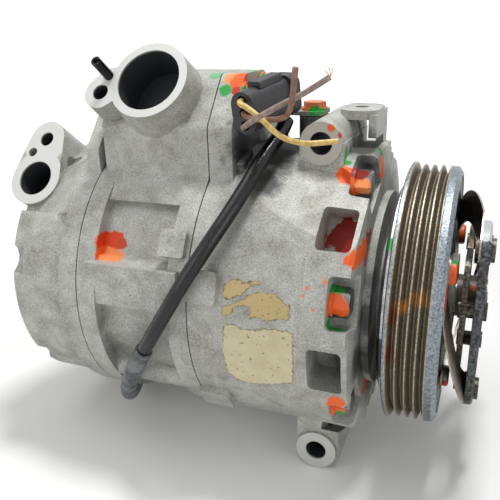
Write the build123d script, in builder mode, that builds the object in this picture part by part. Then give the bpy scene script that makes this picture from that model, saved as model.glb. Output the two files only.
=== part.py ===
"""A seven-cylinder swash-plate air conditioning compressor with a magnetic clutch.

The shaft runs along X, and +X points at the clutch. +Z is up. The origin lies on the shaft axis,
in the middle plane of the pulley's belt grooves. The mounting ears are bored along Y. Millimetres.
"""
import os
from math import cos, degrees, radians, sin, tan

from build123d import *

os.makedirs("parts", exist_ok=True)

# ---- driving dimensions -------------------------------------------------------------------------
fit_gap = 0.05  # radial clearance of a piece that turns or slides in another
seat_gap = 0.3  # clearance between pieces that only lie beside each other

# stations along the shaft
rear_end_x = -171.7  # back of the rear housing
seam_rear_x = -133.9  # rear housing to cylinder block
seam_front_x = -82.8  # cylinder block to front housing
front_edge_x = -19.7  # front edge of the front housing's barrel
gasket_t = 0.5

# barrel
body_r = 62.7
chamber_r = 50.4  # crank chamber
seam_band_w = 8.5  # full-diameter band beside each seam
block_waist_r = 57.5  # cylinder block between its bands
rear_waist_r = 60.0  # rear housing behind its band
rear_round = 10.0
ledge_angle = 37.0  # where the rear housing's waist meets its sloping shoulder
shoulder_r = 54.0

# through bolts
bolt_count = 7
bolt_first_angle = 16.0  # above the -Y side
bolt_circle_r = 55.5
bolt_r = 3.0
bolt_hole_r = 3.4
bolt_boss_r = 7.2
bolt_head_across = 10.0
bolt_head_h = 7.5
bolt_seat_x = -27.5  # where the heads bear

# cylinders and pistons
bore_r = 13.5
bore_circle_r = 35.8
piston_head_l = 40.0
piston_top_gap = 3.0

# swash plate train
swash_x = -60.0
swash_t = 9.0
swash_r = 45.5
shoe_r = 6.2
shoe_h = 4.8
lug_x = -36.0  # middle of the lug plate
lug_t = 8.0
lug_r = 38.0
shaft_r = 8.0
shaft_nose_r = 7.0
shaft_tip_r = 5.5
shaft_rear_x = -128.0
shaft_shoulder_x = 14.0
shaft_tip_x = 24.3

# valve plate stack
stack_r = 50.0
reed_t = 0.4
valve_plate_t = 3.0
head_gasket_t = 0.6

# ports, on faces tilted towards the -Y side
port_tilt = 37.8
suction_x = -107.2
suction_across = 50.4
suction_height = 83.5
suction_bore_r = 13.3
suction_wall = 3.3
suction_depth = 17.0
suction_thread_x = -127.4
suction_thread_across = 44.5
suction_thread_r = 3.4
discharge_x = -169.9
discharge_across = 16.0
discharge_height = 56.6
discharge_bore_r = 8.2
discharge_pad_r = 12.6
discharge_thread_x = -170.2
discharge_thread_across = 35.5
discharge_thread_r = 3.4
discharge_tab_r = 9.0
port_pin_r = 2.0
port_pin_proud = 10.5

# tower over the barrel, seen along the shaft as Y and Z
tower_front_y = -35.0
tower_corner_z = 73.0
tower_top_z = 92.0
tower_top_y = -18.5
tower_back_y = 20.0
tower_back_z = 78.0
tower_top_back_y = 3.0
tower_foot_z = 57.0
tower_rear_x = -130.8
tower_wall = 5.0
tower_round = 5.0
tower_flange_l = 10.0
tower_bolt_points = [(-20.5, 84.5), (-1.0, 86.5)]
tower_bolt_r = 2.0
tower_bolt_boss_r = 3.3
tower_bolt_depth = 5.0

# mounting ears, bored along Y
ear_bore_r = 4.5
top_ear_x = -40.1
top_ear_z = 66.7
top_ear_r = 8.4
top_ear_front_y = -24.2
top_ear_back_y = 24.0
low_ear_x = -36.4
low_ear_z = -64.5
low_ear_r = 8.8
low_ear_front_y = -39.2
low_ear_back_y = 28.0
back_ear_x = -112.0
back_ear_z = -64.5
back_ear_y = (14.0, 44.0)

# nose and clutch
front_face_x = -18.4
nose_flange_r = 42.0
nose_flange_x = -15.7
coil_seat_r = 22.0
nose_r = 17.5
nose_end_x = 13.6
nose_bore_r = 13.0
belt_pitch = 3.56
belt_grooves = 4
groove_depth = 3.6
pulley_rear_x = -8.7
pulley_front_x = 11.5
pulley_r = 55.0
pulley_front_r = 54.0
pulley_rim_inner_r = 48.4
pulley_hub_r = 32.6
friction_x = 7.7  # the armature's running face, recessed inside the rim
rim_lip_r = 50.6
pulley_web_t = 4.5
bearing_outer_r = 29.0
bearing_w = 16.0
ball_r = 3.0
coil_rear_x = -10.4
coil_front_x = 2.2
coil_outer_r = 47.5
coil_inner_r = 33.6
coil_shell_t = 3.0
air_gap = 0.5  # armature to pulley, clutch off
armature_t = 2.9
armature_r = 50.0
armature_inner_r = 22.0
hub_boss_r = 9.0
hub_plate_x = 21.5
hub_plate_t = 3.3
hub_arm_r = 45.0
hub_arm_w = 32.0
hub_arm_turn = 52.0  # angle of the first hub arm above the -Y side
limiter_x = 16.6
limiter_t = 2.1
limiter_disc_r = 30.0
limiter_arm_r = 43.0
limiter_arm_w = 14.0
limiter_rivet_place = (25.0, -40.0)  # radius, and angle from each hub arm
spring_t = 0.6
spring_w = 13.0
spring_sweep = 104.0  # angle from an armature rivet to its hub rivet
spring_flat = (10.5, 5.5)  # flat lengths beyond the two rivets, along the chord
rivet_circle_r = 38.0
rivet_r = 2.6
rivet_head_r = 4.6

# electrics
connector_w = 11.0
connector_h = 16.0
lead_r = 3.0
wire_r = 1.05


# ---- shared planes and places -------------------------------------------------------------------
def across(x):
    """The plane at one station of the shaft: sketches on it are in Y and Z."""
    return Plane(origin=(x, 0, 0), x_dir=(0, 1, 0), z_dir=(1, 0, 0))


def port_plane(height):
    """A plane parallel to the port faces: sketches on it are in X and across."""
    tilt = radians(port_tilt)
    normal = (0, -cos(tilt), sin(tilt))
    return Plane(origin=tuple(height * n for n in normal), x_dir=(1, 0, 0), z_dir=normal)


def half_plane(angle):
    """The plane through the shaft axis at an angle: sketches on it are in X and radius."""
    turn = radians(angle)
    return Plane(origin=(0, 0, 0), x_dir=(1, 0, 0), z_dir=(0, -sin(turn), -cos(turn)))


def polar(radius, angle):
    """Y and Z of a point at an angle measured up from the -Y side."""
    return (-radius * cos(radians(angle)), radius * sin(radians(angle)))


bolt_angles = [bolt_first_angle + k * 360 / bolt_count for k in range(bolt_count)]
bore_angles = [a + 180 / bolt_count for a in bolt_angles]
bolt_points = [polar(bolt_circle_r, a) for a in bolt_angles]
bore_points = [polar(bore_circle_r, a) for a in bore_angles]


def save(part, name):
    part.label = name
    export_step(part, f"parts/{name}.step")


def tube(x0, x1, r_out, r_in=0.0):
    """A ring about the shaft axis from x0 to x1, as a sketch-and-extrude in its own builder."""
    with BuildPart() as ring:
        with BuildSketch(across(x0)):
            Circle(r_out)
            if r_in > 0:
                Circle(r_in, mode=Mode.SUBTRACT)
        extrude(amount=x1 - x0)
    return ring.part


def tower_outline(inset):
    """The tower's section in Y and Z, drawn in by an inset."""
    return [
        (tower_front_y + inset, 0),
        (tower_front_y + inset, tower_corner_z - inset * 0.35),
        (tower_top_y + inset * 0.35, tower_top_z - inset),
        (tower_top_back_y - inset * 0.35, tower_top_z - inset),
        (tower_back_y - inset, tower_back_z - inset * 0.35),
        (tower_back_y - inset, 0),
    ]


def on_barrel(x, radius, angle):
    """A plane that faces out of the barrel: local X is the shaft's, local Y runs round it."""
    y, z = polar(radius, angle)
    return Plane(origin=(x, y, z), x_dir=(1, 0, 0), z_dir=(0, y, z))


# ---- front housing: crank chamber, mounting ears and clutch nose -------------------------------
front_rear_x = seam_front_x + gasket_t / 2
wall_x = -29.0  # inside of the front wall
needle_r = 1.25
front_needle_x = (-28.5, -17.5)
needle_shell_r = 12.0
seam_boss_l = 13.0
pocket_w = 20.0
pocket_floor_r = 47.5
bolt_pocket_l = front_edge_x - bolt_seat_x + 4
relief_pocket_x = (-34.5, -21.4)
seal_x = (-4.0, 4.0)
pad_angles = (1.0, 29.0)
upper_lug_y = 21.0
bracket_seat_z = 73.2
screw_place = (-50.7, 5.5)

with BuildPart() as front_housing:
    with BuildSketch(Plane.XZ):
        with BuildLine():
            Polyline(
                (front_rear_x, 0),
                (front_rear_x, body_r),
                (front_edge_x - 1.5, body_r),
                (front_edge_x, body_r - 1.5),
                (front_face_x, nose_flange_r + 4),
                (front_face_x, nose_flange_r),
                (nose_flange_x, nose_flange_r),
                (nose_flange_x, coil_seat_r + 2.5),
                (coil_rear_x - 1.6, coil_seat_r + 2.5),
                (coil_rear_x - 1.6, coil_seat_r),
                (pulley_rear_x - 0.2, coil_seat_r),
                (pulley_rear_x - 0.2, nose_r),
                (nose_end_x, nose_r),
                (nose_end_x, 0),
                close=True,
            )
        make_face()
    revolve(axis=Axis.X)
    # the flat that is cast in front of the upper ear leaves the barrel along a slanting crease
    crease_low = Vector(-35.7, *polar(body_r, 38))
    crease_high = Vector(-63.7, *polar(body_r, 60))
    ear_foot = Vector(top_ear_x, top_ear_front_y, 55.6)
    facet = Plane(
        origin=crease_low,
        x_dir=crease_high - crease_low,
        z_dir=(ear_foot - crease_low).cross(crease_high - crease_low),
    )
    with BuildSketch(facet):
        Rectangle(120, 54)
    extrude(amount=20, mode=Mode.SUBTRACT)
    # raised pad round the pocket of the foremost bolt
    with BuildSketch(across(relief_pocket_x[0] - 2)):
        Circle(body_r + 1.6)
        with BuildLine():
            Line((0, 0), polar(90, pad_angles[0]))
            Line(polar(90, pad_angles[0]), polar(90, pad_angles[1]))
            Line(polar(90, pad_angles[1]), (0, 0))
        make_face(mode=Mode.INTERSECT)
    extrude(amount=front_edge_x - relief_pocket_x[0] + 2)
    # seam bosses of the through bolts
    for angle in bolt_angles:
        with BuildSketch(on_barrel(front_rear_x + seam_boss_l / 2, bolt_circle_r - 6, angle)):
            RectangleRounded(seam_boss_l, 13, 2)
        extrude(amount=body_r + 2.8 - bolt_circle_r + 6)
    # tower flange beside the seam
    with BuildSketch(across(front_rear_x)):
        with BuildLine():
            Polyline(*tower_outline(0), close=True)
        make_face()
        fillet(vertices().filter_by(lambda v: v.Y > 60), radius=tower_round)
    extrude(amount=tower_flange_l)
    # upper ear: bored tube on a block
    with BuildSketch(Plane.XZ.offset(-top_ear_front_y)):
        with Locations((top_ear_x, top_ear_z)):
            Circle(top_ear_r)
    extrude(amount=top_ear_front_y - top_ear_back_y)
    with BuildSketch(Plane.XZ.offset(-top_ear_front_y - 0.9)):
        with Locations((top_ear_x, top_ear_z / 2 + 10)):
            Rectangle(2 * top_ear_r + 1, top_ear_z - 20)
    extrude(amount=top_ear_front_y - top_ear_back_y + 2)
    # lower ear
    with BuildSketch(Plane.XZ.offset(-low_ear_front_y)):
        with Locations((low_ear_x, low_ear_z)):
            Circle(low_ear_r)
    extrude(amount=low_ear_front_y - low_ear_back_y)
    with BuildSketch(Plane.XZ.offset(-low_ear_front_y - 1.4)):
        with Locations((low_ear_x + 0.4, low_ear_z + 16)):
            RectangleRounded(2 * low_ear_r + 0.6, 2 * low_ear_r + 32, 4)
    extrude(amount=low_ear_front_y - low_ear_back_y + 3)
    # upper lug beside the ear: two shelves and the walls under them
    with BuildSketch(Plane.XY.offset(73.0)):
        with Locations((-30.0, 7)):
            RectangleRounded(15, 24, 6)
        with Locations((-34.0, 9)):
            Rectangle(8, 20)
    extrude(amount=3.6)
    for x0, x1, z0, z1 in ((-25.6, -22.4, 57, 75), (-40, -20.8, 56, 60.5), (-22.8, -20.2, 40, 60.5)):
        with BuildSketch(Plane.XZ.offset(5)):
            with Locations(((x0 + x1) / 2, (z0 + z1) / 2)):
                Rectangle(x1 - x0, z1 - z0)
        extrude(amount=-5 - upper_lug_y)
    with Locations((-31.0, 8, 73.0)):
        Cylinder(2.8, 20, mode=Mode.SUBTRACT)
    # screw boss of the connector bracket
    with BuildSketch(Plane.XY.offset(bracket_seat_z)):
        with Locations(screw_place):
            Circle(6.5)
    extrude(amount=-33.2)
    # crank chamber, bearing seat, seal bore
    with BuildSketch(Plane.XZ):
        with BuildLine():
            Polyline(
                (seam_front_x, 0),
                (seam_front_x, chamber_r),
                (-46, chamber_r),
                (-41, lug_r + 3),
                (wall_x, lug_r + 3),
                (wall_x, needle_shell_r + fit_gap),
                (front_needle_x[1] + 0.5, needle_shell_r + fit_gap),
                (front_needle_x[1] + 0.5, shaft_r + 1),
                (front_needle_x[1] + 3, shaft_r + 1),
                (front_needle_x[1] + 3, nose_bore_r),
                (nose_end_x, nose_bore_r),
                (nose_end_x, 0),
                close=True,
            )
        make_face()
    revolve(axis=Axis.X, mode=Mode.SUBTRACT)
    # muffler space inside the tower flange
    with BuildSketch(across(front_rear_x)):
        with BuildLine():
            Polyline(*tower_outline(tower_wall), close=True)
        make_face()
        Circle(body_r - 2, mode=Mode.SUBTRACT)
    extrude(amount=tower_flange_l - 3, mode=Mode.SUBTRACT)
    with BuildSketch(across(front_rear_x)):
        with Locations(*tower_bolt_points):
            Circle(tower_bolt_boss_r)
    extrude(amount=tower_flange_l)
    with BuildSketch(across(front_rear_x)):
        with Locations(*tower_bolt_points):
            Circle(tower_bolt_r + fit_gap)
    extrude(amount=tower_flange_l, mode=Mode.SUBTRACT)
    # bolt pockets, relief pockets and bolt holes
    for angle in bolt_angles:
        with BuildSketch(on_barrel(bolt_seat_x + bolt_pocket_l / 2, pocket_floor_r + 1.5, angle)):
            RectangleRounded(bolt_pocket_l, pocket_w, 2)
        extrude(amount=40, mode=Mode.SUBTRACT)
    for angle in bore_angles:
        middle = sum(relief_pocket_x) / 2
        with BuildSketch(on_barrel(middle, pocket_floor_r, angle)):
            RectangleRounded(relief_pocket_x[1] - relief_pocket_x[0], pocket_w - 1, 2)
        extrude(amount=18, mode=Mode.SUBTRACT)
    with BuildSketch(across(front_rear_x)):
        with Locations(*bolt_points):
            Circle(bolt_hole_r)
    extrude(amount=bolt_seat_x - front_rear_x + 1, mode=Mode.SUBTRACT)
    for x, z in ((top_ear_x, top_ear_z), (low_ear_x, low_ear_z)):
        with BuildSketch(Plane.XZ.offset(80)):
            with Locations((x, z)):
                Circle(ear_bore_r)
        extrude(amount=-160, mode=Mode.SUBTRACT)
save(front_housing.part, "front_housing")


# ---- cylinder block with the suction tower -----------------------------------------------------
block_rear_x = seam_rear_x + gasket_t / 2
block_front_x = seam_front_x - gasket_t / 2
ring_r = suction_bore_r + suction_wall
suction_tab_r = 7.2
locating_lug_x = (-95.5, -84.5)
radial_needle_x = (-125.0, -110.0)

with BuildPart() as cylinder_block:
    with BuildSketch(across(block_rear_x)):
        Circle(block_waist_r)
    extrude(amount=block_front_x - block_rear_x)
    for x0 in (block_rear_x, block_front_x - seam_band_w):
        with BuildSketch(across(x0)):
            Circle(body_r)
        extrude(amount=seam_band_w)
    # bosses over the through bolts and swells over the cylinders
    with BuildSketch(across(block_rear_x)):
        with Locations(*bolt_points):
            Circle(bolt_boss_r)
        with Locations(*bore_points):
            Circle(bore_r + 9.2)
        Circle(36, mode=Mode.SUBTRACT)
    extrude(amount=block_front_x - block_rear_x)
    # flat apron from the foremost bolt boss down to a step
    with BuildSketch(across(block_rear_x + seam_band_w - 4)):
        with Locations((-50.0, 12.5)):
            Rectangle(23.4, 18.0)
    extrude(amount=block_front_x - block_rear_x - seam_band_w)
    # locating lug beside the front seam
    with BuildSketch(on_barrel(sum(locating_lug_x) / 2, 50, 29.5)):
        RectangleRounded(locating_lug_x[1] - locating_lug_x[0], 11, 1.5)
    extrude(amount=body_r + 2.6 - 50)
    # tower: square-shouldered muffler box that reaches the front seam
    with BuildSketch(across(tower_rear_x)):
        with BuildLine():
            Polyline(*tower_outline(0), close=True)
        make_face()
        with Locations((0, tower_foot_z - 25)):
            Rectangle(200, 50, align=(Align.CENTER, Align.MAX), mode=Mode.SUBTRACT)
        fillet(vertices().filter_by(lambda v: v.Y > 60), radius=tower_round)
    extrude(amount=block_front_x - tower_rear_x)
    # suction port: a ring on the tower with a threaded tab beside it
    with BuildSketch(port_plane(suction_height)):
        with Locations((suction_x, suction_across)):
            Circle(ring_r)
    extrude(amount=-40, taper=-6)
    with BuildSketch(port_plane(suction_height)):
        with BuildSketch(mode=Mode.PRIVATE) as tab_corners:
            with Locations(
                (suction_thread_x, suction_thread_across),
                (suction_thread_x + 2.6, suction_thread_across + 2.0),
            ):
                Circle(suction_tab_r)
            with Locations((suction_thread_x + 2.0, suction_thread_across + 7.3)):
                Circle(port_pin_r + 1.6)
            with Locations((suction_x - 12, suction_across)):
                Circle(suction_tab_r - 1)
        make_hull(tab_corners.sketch.edges())
    extrude(amount=-16)
    # the wedge under the recessed panel
    with BuildSketch(across(tower_rear_x + 5)):
        with BuildLine():
            Polyline((-33.5, 58), (-33.5, 55), (-44, 43.5), (-20, 30), (-10, 58), close=True)
        make_face()
    extrude(amount=block_front_x - tower_rear_x - 5)
    # muffler space, suction bore and its offset passage
    with BuildSketch(across(tower_rear_x + tower_wall)):
        with BuildLine():
            Polyline(*tower_outline(tower_wall), close=True)
        make_face()
        with Locations((0, body_r)):
            Rectangle(200, 100, align=(Align.CENTER, Align.MAX), mode=Mode.SUBTRACT)
    extrude(amount=block_front_x - tower_rear_x - tower_wall, mode=Mode.SUBTRACT)
    with BuildSketch(across(block_front_x)):
        with Locations(*tower_bolt_points):
            Circle(tower_bolt_boss_r)
    extrude(amount=-tower_bolt_depth - 2)
    with BuildSketch(across(block_front_x)):
        with Locations(*tower_bolt_points):
            Circle(tower_bolt_r + fit_gap)
    extrude(amount=-tower_bolt_depth - 0.5, mode=Mode.SUBTRACT)
    with BuildSketch(port_plane(suction_height - suction_depth - 3)):
        with Locations((suction_x, suction_across)):
            Circle(suction_bore_r + 2)
    extrude(amount=6)
    with BuildSketch(port_plane(suction_height)):
        with Locations((suction_x, suction_across)):
            Circle(suction_bore_r)
    extrude(amount=-suction_depth, mode=Mode.SUBTRACT)
    with BuildSketch(port_plane(suction_height - suction_depth)):
        with Locations((suction_x + 5, suction_across - 4)):
            Circle(5.5)
    extrude(amount=-8, mode=Mode.SUBTRACT)
    with BuildSketch(port_plane(suction_height)):
        with Locations((suction_thread_x, suction_thread_across)):
            Circle(suction_thread_r)
    extrude(amount=-13, mode=Mode.SUBTRACT)
    with BuildSketch(port_plane(suction_height)):
        with Locations((suction_thread_x + 2.0, suction_thread_across + 7.3)):
            Circle(port_pin_r)
    extrude(amount=-9, mode=Mode.SUBTRACT)
    # third mounting ear, low on the far side
    with BuildSketch(Plane.XZ.offset(-back_ear_y[0])):
        with Locations((back_ear_x, back_ear_z)):
            Circle(low_ear_r)
        with Locations((back_ear_x, back_ear_z + 12)):
            Rectangle(2 * low_ear_r - 1, 24)
    extrude(amount=back_ear_y[0] - back_ear_y[1])
    # cylinders, middle bore, bolt holes
    with BuildSketch(across(block_rear_x)):
        with Locations(*bore_points):
            Circle(bore_r)
        with Locations(*bolt_points):
            Circle(bolt_hole_r)
        Circle(needle_shell_r + fit_gap)
    extrude(amount=block_front_x - block_rear_x, mode=Mode.SUBTRACT)
    with BuildSketch(Plane.XZ.offset(-back_ear_y[0] + 1)):
        with Locations((back_ear_x, back_ear_z)):
            Circle(ear_bore_r)
    extrude(amount=back_ear_y[0] - back_ear_y[1] - 2, mode=Mode.SUBTRACT)
save(cylinder_block.part, "cylinder_block")

# ---- rear housing with the discharge port ------------------------------------------------------
rear_front_x = seam_rear_x - gasket_t / 2
stack_l = 2 * reed_t + valve_plate_t + head_gasket_t
chamber_end_x = -160.0
chamber_ring_r = (28.0, 32.0)
valve_x = -151.0
valve_y = 14.0
valve_bore_r = 9.0
valve_seat_z = -62.0
valve_top_z = -33.0
relief_angle = 150.0
relief_x = -149.0

with BuildPart() as rear_housing:
    with BuildSketch(Plane.XZ):
        with BuildLine():
            Polyline(
                (rear_end_x, 0),
                (rear_end_x, body_r),
                (rear_front_x, body_r),
                (rear_front_x, 0),
                close=True,
            )
        make_face()
        fillet(vertices().group_by(Axis.X)[0].sort_by(Axis.Y)[-1], radius=rear_round)
    revolve(axis=Axis.X)
    # below the ledge the barrel is waisted; above it, it slopes down to the rear
    band_x = rear_front_x - seam_band_w
    with BuildSketch(half_plane(ledge_angle)):
        with BuildLine():
            Polyline(
                (rear_end_x - 5, rear_waist_r), (band_x - 1.5, rear_waist_r), (band_x, body_r),
                (band_x, 90), (rear_end_x - 5, 90), close=True,
            )
        make_face()
    revolve(axis=Axis.X, revolution_arc=180 + 2 * ledge_angle, mode=Mode.SUBTRACT)
    with BuildSketch(half_plane(180 - ledge_angle)):
        with BuildLine():
            Polyline(
                (rear_end_x - 5, shoulder_r), (rear_end_x + 6, shoulder_r), (band_x, body_r),
                (band_x, 90), (rear_end_x - 5, 90), close=True,
            )
        make_face()
    revolve(axis=Axis.X, revolution_arc=180 - 2 * ledge_angle, mode=Mode.SUBTRACT)
    # scallops in the rear edge behind the bolts
    with BuildSketch(across(rear_end_x - 1)):
        with Locations(*[polar(rear_waist_r - 1, a) for a in bolt_angles]):
            Circle(6)
    extrude(amount=9, mode=Mode.SUBTRACT)
    # tower foot beside the seam
    with BuildSketch(across(rear_front_x - 6)):
        with BuildLine():
            Polyline(
                (tower_front_y, 40), (tower_front_y, 62), (tower_top_y, 80),
                (tower_back_y, 80), (tower_back_y, 40), close=True,
            )
        make_face()
        fillet(vertices().group_by(Axis.Y)[-1], radius=4)
    extrude(amount=6)
    # discharge port block
    with BuildSketch(port_plane(discharge_height)):
        with BuildSketch(mode=Mode.PRIVATE) as pad_circles:
            with Locations((discharge_x, discharge_across)):
                Circle(discharge_pad_r)
            with Locations((discharge_thread_x, discharge_thread_across)):
                Circle(discharge_tab_r)
        make_hull(pad_circles.sketch.edges())
    extrude(amount=-26)
    with BuildSketch(port_plane(20)):
        with Locations(((discharge_x + rear_front_x) / 2 + 6, discharge_across + 8)):
            RectangleRounded(rear_front_x - discharge_x - 12, 32, 5)
    extrude(amount=26)
    # stack recess, discharge chamber in the middle, suction chamber round it
    with BuildSketch(across(rear_front_x)):
        Circle(stack_r + seat_gap)
    extrude(amount=-stack_l, mode=Mode.SUBTRACT)
    with BuildSketch(across(rear_front_x - stack_l)):
        Circle(stack_r - 5)
        Circle(chamber_ring_r[1], mode=Mode.SUBTRACT)
        Circle(chamber_ring_r[0])
    extrude(amount=chamber_end_x - rear_front_x + stack_l, mode=Mode.SUBTRACT)
    # port bores, threads, locating hole
    with BuildSketch(port_plane(discharge_height)):
        with Locations((discharge_x, discharge_across)):
            Circle(discharge_bore_r)
    extrude(amount=-22, mode=Mode.SUBTRACT)
    with BuildSketch(port_plane(discharge_height)):
        with Locations((discharge_thread_x, discharge_thread_across)):
            Circle(discharge_thread_r)
        with Locations((discharge_thread_x - 5.5, discharge_thread_across - 6.9)):
            Circle(2.2)
    extrude(amount=-14, mode=Mode.SUBTRACT)
    # socket of the control valve, from below
    with BuildSketch(Plane.XY.offset(valve_seat_z)):
        with Locations((valve_x, valve_y)):
            Circle(valve_bore_r + 4)
    extrude(amount=10)
    with BuildSketch(Plane.XY.offset(valve_seat_z)):
        with Locations((valve_x, valve_y)):
            Circle(valve_bore_r)
    extrude(amount=valve_top_z - valve_seat_z, mode=Mode.SUBTRACT)
    # relief valve hole and bolt holes
    with BuildSketch(on_barrel(relief_x, body_r + 2, relief_angle)):
        Circle(5)
    extrude(amount=-14, mode=Mode.SUBTRACT)
    with BuildSketch(across(rear_front_x)):
        with Locations(*bolt_points):
            Circle(bolt_hole_r)
    extrude(amount=-26, mode=Mode.SUBTRACT)
save(rear_housing.part, "rear_housing")

# ---- seam gaskets -------------------------------------------------------------------------------
gasket_inset = 0.5
for name, seam_x, has_tower in (
    ("front_gasket", seam_front_x, True),
    ("rear_gasket", seam_rear_x, False),
):
    with BuildPart() as gasket:
        with BuildSketch(across(seam_x - gasket_t / 2)):
            Circle(body_r - gasket_inset)
            if has_tower:
                with BuildLine():
                    Polyline(*tower_outline(gasket_inset), close=True)
                make_face()
                with BuildLine(mode=Mode.PRIVATE) as opening:
                    Polyline(*tower_outline(tower_wall), close=True)
                with BuildSketch(mode=Mode.PRIVATE) as muffler_opening:
                    make_face(opening.edges())
                    Circle(body_r, mode=Mode.SUBTRACT)
                add(muffler_opening.sketch, mode=Mode.SUBTRACT)
                with Locations(*tower_bolt_points):
                    Circle(tower_bolt_boss_r)
                    Circle(tower_bolt_r + fit_gap, mode=Mode.SUBTRACT)
            Circle(chamber_r, mode=Mode.SUBTRACT)
            with Locations(*bolt_points):
                Circle(bolt_hole_r, mode=Mode.SUBTRACT)
        extrude(amount=gasket_t)
    save(gasket.part, name)

# ---- through bolts: heads in the front housing's pockets, threads in the rear housing -----------
bolt_end_x = rear_front_x - 22
with BuildPart() as through_bolts:
    with BuildSketch(across(bolt_end_x)):
        with Locations(*bolt_points):
            Circle(bolt_r)
    extrude(amount=bolt_seat_x - bolt_end_x)
    with BuildSketch(across(bolt_seat_x)):
        with Locations(*bolt_points):
            Circle(bolt_head_across / 2 + 1.3)
    extrude(amount=1.5)
    with BuildSketch(across(bolt_seat_x + 1.5)):
        with Locations(*bolt_points):
            RegularPolygon(bolt_head_across / 2, 6, major_radius=False)
    extrude(amount=bolt_head_h - 1.5)
    chamfer(edges().group_by(Axis.X)[-1], length=0.7)
save(through_bolts.part, "through_bolts")

tower_bolt_head_r = 4.6
tower_seat_x = front_rear_x + tower_flange_l + seat_gap
with BuildPart() as tower_bolts:
    with BuildSketch(across(tower_seat_x)):
        with Locations(*tower_bolt_points):
            Circle(tower_bolt_r)
    extrude(amount=-tower_flange_l - gasket_t - tower_bolt_depth)
    with BuildSketch(across(tower_seat_x)):
        with Locations(*tower_bolt_points):
            Circle(tower_bolt_head_r)
    extrude(amount=1.2)
    with BuildSketch(across(tower_seat_x + 1.2)):
        with Locations(*tower_bolt_points):
            RegularPolygon(tower_bolt_head_r - 0.7, 6, major_radius=False)
    extrude(amount=3.6)
    chamfer(edges().group_by(Axis.X)[-1], length=0.6)
save(tower_bolts.part, "tower_bolts")

with BuildPart() as port_pin:
    with BuildSketch(port_plane(suction_height - 9)):
        with Locations((suction_thread_x + 2.0, suction_thread_across + 7.3)):
            Circle(port_pin_r)
            Circle(port_pin_r - 0.9, mode=Mode.SUBTRACT)
            Rectangle(3 * port_pin_r, 0.8, align=(Align.MIN, Align.CENTER), mode=Mode.SUBTRACT)
    extrude(amount=9 + port_pin_proud)
save(port_pin.part, "port_pin")

# ---- valve plate stack in the rear housing ------------------------------------------------------
port_hole_r = 3.2
stack = (
    ("suction_reed_plate", reed_t, 3.0),
    ("valve_plate", valve_plate_t, port_hole_r),
    ("discharge_reed_plate", reed_t, port_hole_r + 0.6),
    ("head_gasket", head_gasket_t, port_hole_r + 1.2),
)
layer_x = rear_front_x
for name, thickness, hole_r in stack:
    with BuildPart() as layer:
        with BuildSketch(across(layer_x - thickness)):
            Circle(stack_r)
            with Locations(*[polar(40.5, a) for a in bore_angles]):
                Circle(hole_r, mode=Mode.SUBTRACT)
            with Locations(*[polar(24.0, a) for a in bore_angles]):
                Circle(hole_r, mode=Mode.SUBTRACT)
            Circle(5, mode=Mode.SUBTRACT)
        extrude(amount=thickness)
    save(layer.part, name)
    layer_x -= thickness

# ---- shaft, lug plate, swash plate and spring ---------------------------------------------------
with BuildPart() as drive_shaft:
    with BuildSketch(Plane.XZ):
        with BuildLine():
            Polyline(
                (shaft_rear_x, 0), (shaft_rear_x, shaft_r), (-14.0, shaft_r),
                (-12.0, shaft_nose_r), (shaft_shoulder_x, shaft_nose_r),
                (shaft_shoulder_x, shaft_tip_r),
                (shaft_tip_x, shaft_tip_r), (shaft_tip_x, 0), close=True,
            )
        make_face()
    revolve(axis=Axis.X)
    with BuildSketch(across(shaft_tip_x - 12)):
        Circle(2.6)
    extrude(amount=12, mode=Mode.SUBTRACT)
save(drive_shaft.part, "drive_shaft")

arm_h = 12.0
arm_radius = 20.0
with BuildPart() as lug_plate:
    with BuildSketch(across(lug_x - lug_t / 2)):
        Circle(lug_r)
    extrude(amount=lug_t)
    with BuildSketch(across(lug_x - lug_t / 2 - arm_h + 3)):
        for side in (-1, 1):
            with Locations((side * 8, arm_radius)):
                Rectangle(5, 9)
    extrude(amount=arm_h - 3)
    with BuildSketch(across(lug_x - lug_t / 2 - arm_h)):
        Circle(shaft_r, mode=Mode.ADD)
    extrude(amount=arm_h + lug_t, mode=Mode.SUBTRACT)
save(lug_plate.part, "lug_plate")

with BuildPart() as swash_plate:
    with BuildSketch(across(swash_x - swash_t / 2)):
        Circle(swash_r)
        Circle(20, mode=Mode.SUBTRACT)
    extrude(amount=swash_t)
    with BuildSketch(across(swash_x - swash_t / 2 - 3)):
        Circle(20)
    extrude(amount=swash_t + 6)
    with BuildSketch(across(swash_x + swash_t / 2)):
        with Locations((0, arm_radius)):
            Rectangle(10, 9)
    extrude(amount=lug_x - lug_t / 2 - swash_x - swash_t / 2 - 1)
    with BuildSketch(across(swash_x - swash_t / 2 - 3)):
        Circle(shaft_r + 0.8)
    extrude(amount=swash_t + 9, mode=Mode.SUBTRACT)
save(swash_plate.part, "swash_plate")

spring_wire = 1.5
spring_r = shaft_r + 2.4
spring_x = (
    swash_x + swash_t / 2 + 3 + seat_gap + spring_wire / 2,
    lug_x - lug_t / 2 - seat_gap - spring_wire / 2,
)
with BuildPart() as return_spring:
    with BuildLine() as coil:
        Helix(
            pitch=3.2, height=spring_x[1] - spring_x[0], radius=spring_r,
            center=(spring_x[0], 0, 0), direction=(1, 0, 0),
        )
    with BuildSketch(coil.line ^ 0):
        Circle(spring_wire / 2)
    sweep(is_frenet=True)
save(return_spring.part, "return_spring")

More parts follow.
